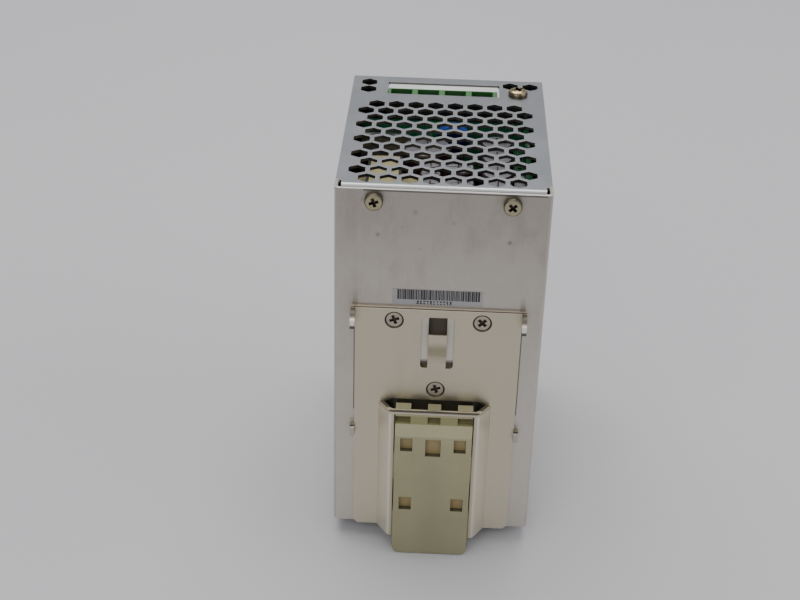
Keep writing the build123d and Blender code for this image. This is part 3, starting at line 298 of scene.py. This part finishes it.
def chassis_marks(f):
    """Dark punched walls round the vents, painted shade inside and under the rear bend, and a painted highlight
    on the bend's crest.
    """
    middle, reach = 0.0681, 0.0614
    upright = f.math("LESS_THAN", f.math("ABSOLUTE", f.facing("Z")), 0.5)
    holes = f.both(upright, f.region(X=(-31.5, 31.5), Y=(-48.5, 35.2)),
                   f.math("GREATER_THAN", f.math("ABSOLUTE", f.math("SUBTRACT", f.axis("Z"), middle)), reach))
    # painted shade inside the case and in the gap under the rear bend
    inside = f.region(X=(-32.5, 32.5), Y=(-49.05, 36.5), Z=(6.6, 129.72))
    gap = f.region(X=(-31.6, 31.6), Y=(36.9, 39.6), Z=(6, 130.2))
    # painted highlight on the crest of the rear bend
    bend = f.both(f.region(X=(-31, 31), Y=(35.9, 37.2), Z=(129.9, 130.8)), f.faces("Z", 0.3))
    return [(holes, 0.80, (0.11, 0.095, 0.075)),
            (inside, 0.75, (0.07, 0.07, 0.065)),
            (gap, 0.85, (0.05, 0.048, 0.045)),
            (bend, 0.5, (0.72, 0.72, 0.72))]


def bracket_marks(f):
    """Painted shade in the channel, round the screws, on the hooks, nubs, lip and head; painted light and
    highlights on slopes, tab, plate, hooks, nubs, lip and head; rubbed marks.
    """
    # painted shade in the countersinks round the screw heads
    sink_r = 3.03
    inner = f.both(f.region(X=(-17.5, 17.5), Y=(40.4, 46.36), Z=(0, rise(51))),
                   f.math("LESS_THAN", f.facing("Y"), 0.2))
    rub = f.both(f.remap(f.noise(30, 4, 0.6, stretch=(2.5, 1, 0.4)), 0.55, 0.75), f.region(Y=PLATE))
    outer = f.math("GREATER_THAN", f.math("ABSOLUTE", f.axis("X")), 25.85 * MM)
    hooked = f.both(outer, f.region(Y=(41.9, 48)))
    # painted highlight across the middle of each hook
    hook_shine = f.both(hooked, f.region(Z=(rise(80.9), rise(83.0))), f.faces("Y", 0.5))
    # the plate's top edge: a dark and a bright band, as a sheared edge's torn and burnished bands, and as
    # painted shade and highlight
    head = f.region(Z=(rise(85.0), rise(85.2)), Y=(40.4, 42))
    head_light = f.both(head, f.math("MAXIMUM", f.region(Y=(40.4, 40.9)), f.region(Y=(41.52, 41.75))))
    # painted highlight on the channel lip's top edge
    lip = f.region(Y=(45.7, 47.0), Z=(rise(50.62), rise(50.8)))
    # painted shade in a line behind the lip
    lip_dark = f.region(X=(-17.5, 17.5), Y=(46.95, 47.8), Z=(rise(50.2), rise(50.8)))
    # painted shade on the nubs, with a painted highlight on their rear faces
    nub = f.both(outer, f.region(Y=(41, 48), Z=(rise(36), rise(50))))
    tilt = f.math("ABSOLUTE", f.facing("X"))
    # painted light on the sloped sides of the bulge, where they face the light
    slope = f.both(f.math("GREATER_THAN", tilt, 0.3), f.math("LESS_THAN", tilt, 0.98),
                   f.region(Y=(42.0, 47.9), Z=(0, rise(49.3))), f.faces("Y", 0.1))
    # painted light on the sprung tab
    tab = f.region(X=(-2.85, 2.85), Y=(41, 43), Z=(rise(70), rise(78)))
    return [(slope, 0.75, (0.82, 0.765, 0.645)),
            # painted light: the plate lightens towards the bottom
            (f.both(f.fade(55, 10, 0.0, 0.5), f.region(Y=PLATE)), 1, (0.72, 0.665, 0.54)),
            (tab, 0.45, (0.74, 0.67, 0.53)),
            (inner, 0.82, (0.05, 0.045, 0.04)),
            (rub, 0.25, (0.44, 0.40, 0.33)),
            # painted shade at the top and the tip of each hook
            (f.both(hooked, f.fade(83.0, 83.6)), 0.8, (0.10, 0.09, 0.08)),
            (f.both(hooked, f.fade(80.9, 80.4)), 0.85, (0.05, 0.045, 0.04)),
            (hook_shine, 0.9, (0.95, 0.92, 0.88)),
            (lip, 0.7, (0.86, 0.82, 0.76)),
            (nub, 0.5, (0.12, 0.10, 0.08)),
            (f.both(nub, f.faces("Y", 0.3)), 0.6, (0.72, 0.68, 0.62)),
            (lip_dark, 0.85, (0.05, 0.045, 0.045)),
            (f.both(head, f.region(Y=(40.9, 41.52))), 0.85, (0.06, 0.045, 0.03)),
            (head_light, 0.7, (0.80, 0.74, 0.64)),
            (f.math("LESS_THAN", f.nearest("XZ", BRACKET_SCREWS), sink_r * MM), 0.9, (0.035, 0.028, 0.02))]


M = {}
M["cover_zinc"] = sheet_metal("cover_zinc", (0.62, 0.58, 0.52), (0.51, 0.475, 0.425), 0.42, masks=cover_marks)
M["chassis_zinc"] = sheet_metal("chassis_zinc", (0.362, 0.374, 0.391), (0.315, 0.327, 0.343), 0.46, spangle=0.2,
                                smudge=0.25, masks=chassis_marks)
M["bracket_nickel"] = sheet_metal("bracket_nickel", (0.63, 0.572, 0.44), (0.57, 0.52, 0.40), 0.45, spangle=0.05,
                                  smudge=0.3, masks=bracket_marks, streak=0.12)
METALS = {
    "spring_steel": ((0.45, 0.45, 0.45), 0.25),
    "screw_nickel": ((0.60, 0.56, 0.47), 0.26),
    "copper_wire": ((0.60, 0.24, 0.09), 0.28),
    "aluminium_plain": ((0.62, 0.62, 0.64), 0.35),
    "plated_steel": ((0.60, 0.60, 0.60), 0.3),
    "tinned_copper": ((0.66, 0.64, 0.60), 0.3),
    "solder_grey": ((0.16, 0.16, 0.17), 0.45),
}
for name, (color, rough) in METALS.items():
    M[name] = sheet_metal(name, color, tuple(c * 0.88 for c in color), rough, spangle=0.1, smudge=0.2)


def screw_finish(name, color, rough, along, face, centres, head_r, sunk):
    """Plated screw head: mottled crown, painted shade in the cross recess and round the outer rim."""
    across = [a for a in "XYZ" if a != along]
    rim_start, rim_full = (0.93, 0.97) if sunk else (0.84, 0.93)
    # head edges: painted highlight on countersunk heads, painted shade on pan heads
    edge = (0.62, 0.58, 0.48) if sunk else (0.09, 0.08, 0.065)

    def head_marks(f):
        distance = f.nearest(across, centres)
        # painted shade in the cross recess
        recess = f.both(f.math("LESS_THAN", distance, head_r * 0.66 * MM),
                        f.math("LESS_THAN", f.axis(along), (face - 0.05) * MM))
        # painted shade round the head's outer rim
        rim = f.remap(distance, head_r * rim_start * MM, head_r * rim_full * MM)
        crown = f.both(f.remap(f.noise(620, 3), 0.42, 0.6),
                       f.math("GREATER_THAN", f.axis(along), (face - 0.35) * MM))
        return [(crown, 0.35, tuple(c * 0.62 for c in color)),
                (rim, 0.85, (0.07, 0.06, 0.05)),
                (recess, 0.92, (0.018, 0.015, 0.012))]

    return sheet_metal(name, color, tuple(c * 0.86 for c in color), rough, spangle=0.05, smudge=0.25,
                       masks=head_marks, edge=edge)


SCREWS = {
    "rear_screws": screw_finish("rear_screw_plating", (0.46, 0.415, 0.27), 0.36, "Y", REAR_Y + 2.02,
                                REAR_SCREWS, 2.8, False),
    "bracket_screws": screw_finish("bracket_screw_plating", (0.50, 0.445, 0.36), 0.40, "Y", REAR_Y + 0.9,
                                   BRACKET_SCREWS, 2.6, True),
    "earth_screw": screw_finish("earth_screw_plating", (0.62, 0.50, 0.27), 0.26, "Z", TOP_Z + 2.32,
                                [(-24.0, REAR_Y - 76.8)], 3.3, False),
}


# ------------------------------------------------------------------ plastic and other finishes
def latch_marks(f):
    """Deeper tone in the pocket floors, painted shade on their walls, in the notches and towards the foot, a
    darker band above the bevel, painted light on the bevel, a darker middle.
    """
    pockets = f.both(f.region(Y=(48.0, 48.45), Z=(rise(10), rise(42))), f.faces("Y", 0.5))
    # painted shade on the pocket walls
    walls = f.both(f.region(X=(-12, 12), Y=(48.1, 49.9), Z=(rise(10), rise(42.3))),
                   f.math("LESS_THAN", f.facing("Y"), 0.4))
    # painted shade in the notches under the prongs
    notches = f.both(f.region(Y=(46.0, 46.6), Z=(rise(46.6), rise(48.9))), f.faces("Y", 0.5))
    band = f.region(Y=(46.8, 48.7), Z=(rise(46.6), rise(49)))
    core = f.both(f.remap(f.math("ABSOLUTE", f.axis("X")), 7 * MM, 1 * MM, 0.0, 0.3), f.fade(40, 24),
                  f.region(Y=(48, 51)))
    # painted light on the bevel's upward faces
    bevel = f.both(f.region(Y=(46.9, 50), Z=(rise(42.4), rise(46.5))), f.faces("Z", 0.12))
    # painted shade: darker towards the foot
    return [(f.fade(42, -5, 0.0, 0.4), 1.15, (0.17, 0.16, 0.10)),
            (band, 0.9, (0.215, 0.20, 0.085)),
            (bevel, 0.5, (0.45, 0.425, 0.27)),
            (core, 1, (0.20, 0.19, 0.12)),
            (pockets, 0.85, (0.34, 0.25, 0.105)),
            (walls, 0.8, (0.06, 0.05, 0.03)),
            (notches, 0.8, (0.13, 0.10, 0.035))]


def block_marks(f):
    """The blocks' inner faces carry near-black painted shade; painted shade in the funnels, painted light on the
    tops.
    """
    middle, funnel_foot, funnel_head = 0.0681, 0.046, 0.0621
    # painted shade: the blocks' inner faces are near black
    rear_shade = f.both(f.region(Y=(-29.9, -29.3)), f.faces("Y", 0.5))
    reach = f.math("ABSOLUTE", f.math("SUBTRACT", f.axis("Z"), middle))
    # painted shade in the wire funnels
    funnel = f.both(f.math("LESS_THAN", reach, funnel_head), f.math("GREATER_THAN", reach, funnel_foot),
                    f.region(Y=(-39.4, -33.3)))
    # painted light on the blocks' tops
    top = f.both(f.math("GREATER_THAN", reach, funnel_head), f.region(Y=(-40, -34)))
    return [(rear_shade, 0.96, (0.012, 0.012, 0.013)),
            (funnel, 0.4, (0.008, 0.045, 0.012)),
            (top, 0.4, (0.08, 0.24, 0.07))]


def board_marks(f):
    """Solder mask over copper tracks, with small tinned pads."""
    lines = f.node("TexBrick", {"Vector": f.coords, "Scale": 240.0, "Mortar Size": 0.03, "Brick Width": 0.9,
                                "Row Height": 0.32}, out="Fac")
    pads = f.math("LESS_THAN", f.cells(330), 0.16)
    return [(lines, 0.6, (0.015, 0.12, 0.045)),
            (pads, 0.7, (0.35, 0.36, 0.34))]


def label_marks(f):
    """Generic blank table on the front sheet: a dark head band, rules and short dashes, no lettering."""
    rows_per_metre, columns_per_metre = 166.0, 71.0
    head = f.region(X=(-26, 26), Z=(rise(88), rise(94)))
    row = f.math("FRACT", f.math("MULTIPLY", f.axis("Z"), rows_per_metre))
    column = f.math("FRACT", f.math("MULTIPLY", f.axis("X"), columns_per_metre))
    rules = f.both(f.region(X=(-26, 26), Z=(rise(32), rise(86))), f.math("LESS_THAN", row, 0.05))
    dashes = f.both(f.region(X=(-24, 22), Z=(rise(33), rise(85))), f.within(row, 0.35, 0.62),
                    f.math("LESS_THAN", column, 0.62))
    return [(head, 1, (0.05, 0.10, 0.20)),
            (f.math("MAXIMUM", rules, f.math("MULTIPLY", dashes, 0.7)), 1, (0.08, 0.09, 0.10))]


def disc_marks(f):
    """Blue lacquer near the top, painted shade below it and a darker tone on the crown."""
    return [(f.fade(118.6, 117.6, 0.0, 0.95), 1, (0.003, 0.006, 0.05)),
            (f.remap(f.facing("Z"), 0.55, 0.85, 0.0, 0.9), 1, (0.004, 0.03, 0.04))]


def film_marks(f):
    """Silvery film with a little mottle."""
    return [(f.remap(f.noise(240, 4), 0.45, 0.7, 0.0, 0.4), 1, (0.28, 0.265, 0.275))]


PLAIN = {
    "latch_nylon": ((0.345, 0.322, 0.188), 0.40, latch_marks),
    "terminal_green": ((0.03, 0.125, 0.03), 0.42, block_marks),
    "guard_white": ((0.66, 0.68, 0.66), 0.45, None),
    "board_green": ((0.004, 0.06, 0.022), 0.30, board_marks),
    "film_yellow": ((0.65, 0.45, 0.05), 0.30, None),
    "disc_blue": ((0.03, 0.12, 0.62), 0.25, disc_marks),
    "ferrite": ((0.03, 0.03, 0.033), 0.55, None),
    "tape_cream": ((0.58, 0.51, 0.27), 0.35, None),
    "package_black": ((0.02, 0.02, 0.022), 0.45, None),
    "insulator_black": ((0.02, 0.02, 0.02), 0.5, None),
    "trimmer_blue": ((0.03, 0.10, 0.35), 0.4, None),
    "trimmer_white": ((0.75, 0.73, 0.68), 0.4, None),
    "lamp_green": ((0.10, 0.40, 0.08), 0.2, None),
    "label_white": ((0.34, 0.33, 0.335), 0.38, film_marks),
    "label_grey": ((0.50, 0.52, 0.55), 0.5, label_marks),
    "glass_fuse": ((0.75, 0.76, 0.75), 0.1, None),
}
for name, (color, rough, masks) in PLAIN.items():
    M[name] = plastic(name, color, rough, masks=masks)


def sleeved_can(name, sleeve, along, face):
    """Capacitor: shrink sleeve round the can, bare aluminium on the end, with a darker pressed cross."""
    f = Finish(name, sleeve, 0.3)
    clouds = f.noise(90, 4)
    bare = f.both(f.faces(along, 0.8), f.math("GREATER_THAN", f.axis(along), (face - 0.3) * MM))
    cross = f.both(bare, f.math("LESS_THAN", f.axis(along), (face - 0.1) * MM))
    sleeved = f.mix(clouds, tuple(c * 0.8 for c in sleeve), tuple(c * 1.25 for c in sleeve))
    metal = f.mix(f.remap(f.noise(1400, 3), 0.3, 0.7), (0.52, 0.50, 0.54), (0.62, 0.60, 0.64))
    metal = f.mix(cross, metal, (0.16, 0.15, 0.16))
    f.set("Base Color", f.mix(bare, sleeved, metal))
    f.set("Metallic", bare)
    f.set("Roughness", f.math("ADD", f.math("MULTIPLY", clouds, 0.2), 0.24))
    f.bump(f.noise(1200, 3), 0.06, 0.00003, radius=0.0002)
    return f


CAN_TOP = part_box("output_capacitors")[1][2] / MM
M["sleeve_brown"] = sleeved_can("sleeve_brown", (0.040, 0.018, 0.018), "Z", CAN_TOP)
M["sleeve_black"] = sleeved_can("sleeve_black", (0.015, 0.015, 0.02), "X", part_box("bulk_capacitor")[1][0] / MM)

M["riser_green"] = plastic("riser_green", (0.014, 0.19, 0.085), 0.35, masks=board_marks)
SLOT_OF = {part["node"]: part["material_slot"] for part in frame["record"]["subparts"]}
M["screw_chromate"] = SCREWS["earth_screw"]
for node, obj in NODES.items():
    finish = SCREWS.get(node) or M["riser_green" if node == "riser_board" else SLOT_OF[node]]
    for slot in obj.material_slots:
        slot.material = finish.mat


# ------------------------------------------------------------------ added pieces
def new_piece(name, bm, finish, body="case"):
    """Turn a bmesh in millimetres into a piece that rides on a body."""
    for vert in bm.verts:
        vert.co *= MM
    mesh = bpy.data.meshes.new(name)
    bmesh.ops.recalc_face_normals(bm, faces=bm.faces)
    bm.to_mesh(mesh)
    bm.free()
    mesh.materials.append(finish.mat)
    piece = bpy.data.objects.new(name, mesh)
    bpy.context.scene.collection.objects.link(piece)
    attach(piece, body)


def add_block(bm, low, high, soft=0.0):
    """A box between two corners with softened edges."""
    made = bmesh.ops.create_cube(bm, size=1.0)["verts"]
    for vert in made:
        vert.co = Vector([(a + b) / 2 + c * (b - a) for a, b, c in zip(low, high, vert.co)])
    if soft:
        edges = {edge for vert in made for edge in vert.link_edges}
        bmesh.ops.bevel(bm, geom=list(edges), offset=soft, segments=2, affect="EDGES")


def make_sticker_print():
    """Irregular generic bars and a row of abstract blocks on the sticker."""
    rng = random.Random(11)
    ink = Finish("sticker_ink", (0.02, 0.02, 0.022), 0.5)
    worn = ink.noise(3000, 3)
    ink.set("Base Color", ink.mix(ink.remap(worn, 0.35, 0.75), (0.012, 0.012, 0.014), (0.06, 0.058, 0.06)))
    ink.set("Roughness", ink.remap(worn, 0.2, 0.8, 0.4, 0.6))
    bm = bmesh.new()
    low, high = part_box("barcode_label")
    face = high[1] / MM
    x = -12.6
    while x < 13.0:
        width = rng.choice((0.24, 0.32, 0.42, 0.62))
        add_block(bm, (x, face, rise(88.1)), (x + width, face + 0.015, high[2] / MM - 0.05))
        x += width + rng.choice((0.1, 0.15, 0.2))
    foot = rise(86.5)
    for mark in range(11):
        x = -3.9 + mark * 1.02
        wide, top = rng.choice((0.45, 0.6, 0.72)), rng.choice((0.5, 0.75))
        add_block(bm, (x, face, foot), (x + wide, face + 0.015, foot + 0.42))
        add_block(bm, (x + rng.choice((0, 0.12)), face, foot + 1.3 - top), (x + 0.62, face + 0.015, foot + 1.3))
    new_piece("sticker_print", bm, ink)


def make_transformer_tape():
    """Cream tape wound round the ferrite frame, with a raised end."""
    low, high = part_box("transformer_core")
    _, y0, z0 = (c / MM for c in low)
    _, y1, z1 = (c / MM for c in high)
    bm = bmesh.new()
    for x0, x1, grow in ((14.6, 23.8, 0.12), (16.0, 22.6, 0.2)):
        rings = []
        for x, out in ((x0, 0.0), (x0, grow), (x1, grow), (x1, 0.0)):
            loop = []
            for cy, cz, start in ((y1, z1, 0), (y0, z1, 90), (y0, z0, 180), (y1, z0, 270)):
                for step in range(4):
                    angle = math.radians(start + step * 30)
                    centre_y = cy - math.copysign(0.8, cy - (y0 + y1) / 2)
                    centre_z = cz - math.copysign(0.8, cz - (z0 + z1) / 2)
                    radius = 0.81 + out
                    loop.append(bm.verts.new((x, centre_y + radius * math.cos(angle),
                                              centre_z + radius * math.sin(angle))))
            rings.append(loop)
        for a, b in zip(rings, rings[1:]):
            for i in range(len(a)):
                j = (i + 1) % len(a)
                bm.faces.new((a[i], a[j], b[j], b[i]))
    new_piece("transformer_tape", bm, M["tape_cream"])


def make_coil(name, node, centre, ring_r, hole_r, width, turns):
    """Enamelled wire wound round a toroid in two banks, in place of its plain square turns."""
    middle_r = (ring_r + hole_r) / 2
    radial, axial = (ring_r - hole_r) / 2 + 0.5, width / 2 + 0.5
    data = bpy.data.curves.new(name, "CURVE")
    data.dimensions = "3D"
    data.bevel_depth = 0.44 * MM
    data.bevel_resolution = 3
    steps = 24
    for start in (14, 194):
        spline = data.splines.new("POLY")
        count = turns * steps + 1
        spline.points.add(count - 1)
        for i in range(count):
            around = math.radians(start + 152 * i / (count - 1))
            angle = 2 * math.pi * i / steps
            c, s = math.cos(angle), math.sin(angle)
            out = middle_r + radial * math.copysign(abs(c) ** 0.4, c)
            along = axial * math.copysign(abs(s) ** 0.4, s)
            place = Vector((centre[0] + along, centre[1] + out * math.cos(around),
                            centre[2] + out * math.sin(around)))
            spline.points[i].co = (*(place * MM), 1)
    data.materials.append(M["copper_wire"].mat)
    coil = bpy.data.objects.new(name, data)
    bpy.context.scene.collection.objects.link(coil)
    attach(coil, "case")
    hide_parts(node)


def make_board_parts():
    """Small chips on the riser and main boards: dark bodies with dull solder on their ends."""
    rng = random.Random(5)
    bodies, caps = bmesh.new(), bmesh.new()
    riser_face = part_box("riser_board")[1][1] / MM
    for column in range(9):
        for row in range(2):
            if rng.random() < 0.25:
                continue
            x = -22.5 + column * 5.6 + rng.uniform(-0.8, 0.8)
            z = rise(104.5) + row * 4.2 + rng.uniform(-0.5, 0.5)
            half = rng.choice((0.8, 1.0, 1.6))
            add_block(bodies, (x - half, riser_face, z - 0.6), (x + half, riser_face + 0.55, z + 0.6), 0.08)
            for side in (-1, 1):
                x0, x1 = sorted((x + side * half, x + side * (half + 0.35)))
                add_block(caps, (x0, riser_face, z - 0.62), (x1, riser_face + 0.5, z + 0.62), 0.06)
    board_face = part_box("main_board")[1][0] / MM
    for column in range(5):
        for row in range(3):
            y, z = -18.0 + column * 9.0 + rng.uniform(-1, 1), rise(88.5) + row * 9.0
            add_block(bodies, (board_face, y - 1.0, z - 0.6), (board_face + 0.55, y + 1.0, z + 0.6), 0.08)
            for side in (-1, 1):
                y0, y1 = sorted((y + side * 1.0, y + side * 1.4))
                add_block(caps, (board_face, y0, z - 0.62), (board_face + 0.5, y1, z + 0.62), 0.06)
    new_piece("chip_bodies", bodies, M["package_black"])
    new_piece("chip_caps", caps, M["solder_grey"])


def make_inner_pieces():
    """A board and a strip along the main board, a black sheet over the riser and a dark card behind the tab,
    both standing in for shade.
    """
    board = bmesh.new()
    add_block(board, (-25.9, -23.5, rise(113.0)), (-22.5, 1.5, rise(114.4)), 0.15)
    for step in range(5):
        add_block(board, (-24.9, -21.0 + step * 4.6, rise(114.4)), (-23.7, -19.2 + step * 4.6, rise(115.0)), 0.1)
    new_piece("side_board", board, M["board_green"])
    strip = bmesh.new()
    add_block(strip, (-25.9, 3.0, rise(112.5)), (-22.5, 30.5, rise(114.0)), 0.3)
    for step in range(4):
        add_block(strip, (-25.6, 5.0 + step * 6.4, rise(114.0)), (-22.8, 8.4 + step * 6.4, rise(115.2)), 0.4)
    new_piece("side_strip", strip, M["aluminium_plain"])
    # the black sheet stands in for the shade behind the terminal blocks
    shade_sheet = bmesh.new()
    add_block(shade_sheet, (-26.0, -29.2, rise(117.0)), (-15.6, -28.9, rise(123.9)), 0.05)
    new_piece("riser_shade_sheet", shade_sheet, M["insulator_black"])
    # the dark card stands in for the shade seen through the hole behind the tab
    card = bmesh.new()
    add_block(card, (-7.0, REAR_Y - 2.6, rise(66.0)), (7.0, REAR_Y - 2.2, rise(86.0)), 0.1)
    new_piece("tab_shade_card", card, plastic("card_brown", (0.10, 0.085, 0.065), 0.55))


def make_latch_coil():
    """The latch's coil spring, a copy of the CAD spring that rides on the case in its place."""
    node = NODES["latch_spring"]
    coil = bpy.data.objects.new("latch_coil", node.data.copy())
    bpy.context.scene.collection.objects.link(coil)
    coil.matrix_world = node.matrix_world.copy()
    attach(coil, "case")
    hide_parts("latch_spring")
    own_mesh(coil)


make_inner_pieces()
make_latch_coil()
make_sticker_print()
make_transformer_tape()
make_coil("output_inductor_coil", "output_inductor_winding", (-19.4, 13.5, rise(66)), 12.0, 6.0, 10.0, 13)
make_coil("line_choke_coil", "line_choke_winding", (-19.9, -25.5, rise(68)), 11.0, 5.5, 9.0, 12)
make_board_parts()


# ------------------------------------------------------------------ camera, floor, light
camera = bpy.data.objects.new("camera", bpy.data.cameras.new("camera"))
bpy.context.scene.collection.objects.link(camera)
bpy.context.scene.camera = camera
camera.data.sensor_width = 36.0
camera.data.lens = 66.41
camera.data.clip_start = 0.01
# place and turn fitted to the case's corners in the photograph
back = Vector((-0.02496, 0.86052, 0.50880))
up = Vector((0.04178, -0.50761, 0.86057))
right = up.cross(back)
turn = Matrix((right, up, back)).transposed()
camera.matrix_world = Matrix.Translation(Vector((0.714, 434.59, 326.15)) * MM) @ turn.to_4x4()


def make_floor():
    """A pale sweep under the supply, which leans back on its latch and the front edge of its bottom."""
    lean = math.atan2(BASE_Z, 50 - FRONT_Y)
    size = 3.0
    mesh = bpy.data.meshes.new("floor")
    corners = [(-size, -size, 0), (size, -size, 0), (size, size, 0), (-size, size, 0)]
    mesh.from_pydata(corners, [], [(0, 1, 2, 3)])
    floor = bpy.data.objects.new("floor", mesh)
    bpy.context.scene.collection.objects.link(floor)
    floor.matrix_world = (Matrix.Translation(Vector((0, 0.05, -0.0001))) @ Matrix.Rotation(-lean, 4, "X")
                          @ Matrix.Translation(Vector((0, -0.05, 0))))
    f = Finish("floor_paper", (0.552, 0.552, 0.566), 0.75)
    f.set("Base Color", f.mix(f.remap(f.noise(3.0, 3), 0.3, 0.7), (0.542, 0.538, 0.556), (0.562, 0.558, 0.575)))
    f.bump(f.noise(700, 3), 0.05, 0.0001)
    mesh.materials.append(f.mat)


def make_light(name, place, target, size, power, color=(1, 1, 1)):
    data = bpy.data.lights.new(name, "AREA")
    data.shape = "RECTANGLE"
    data.size, data.size_y = size
    data.energy = power
    data.color = color
    light = bpy.data.objects.new(name, data)
    bpy.context.scene.collection.objects.link(light)
    light.location = place
    light.rotation_mode = "QUATERNION"
    light.rotation_quaternion = (Vector(target) - Vector(place)).to_track_quat("-Z", "Y")


make_floor()
world = bpy.data.worlds.new("studio")
bpy.context.scene.world = world
world.use_nodes = True
world.node_tree.nodes["Background"].inputs["Color"].default_value = (0.95, 0.96, 1.0, 1)
world.node_tree.nodes["Background"].inputs["Strength"].default_value = 0.44
make_light("over", (0.1, -0.3, 1.1), (0, 0, 0), (1.1, 0.9), 10.5)
make_light("behind", (0.35, 1.0, 0.75), (0, 0, 0.05), (1.0, 0.7), 4.2, (1, 0.98, 0.95))
make_light("aside", (-0.9, 0.2, 0.6), (0, 0, 0.05), (0.8, 0.8), 2.5)
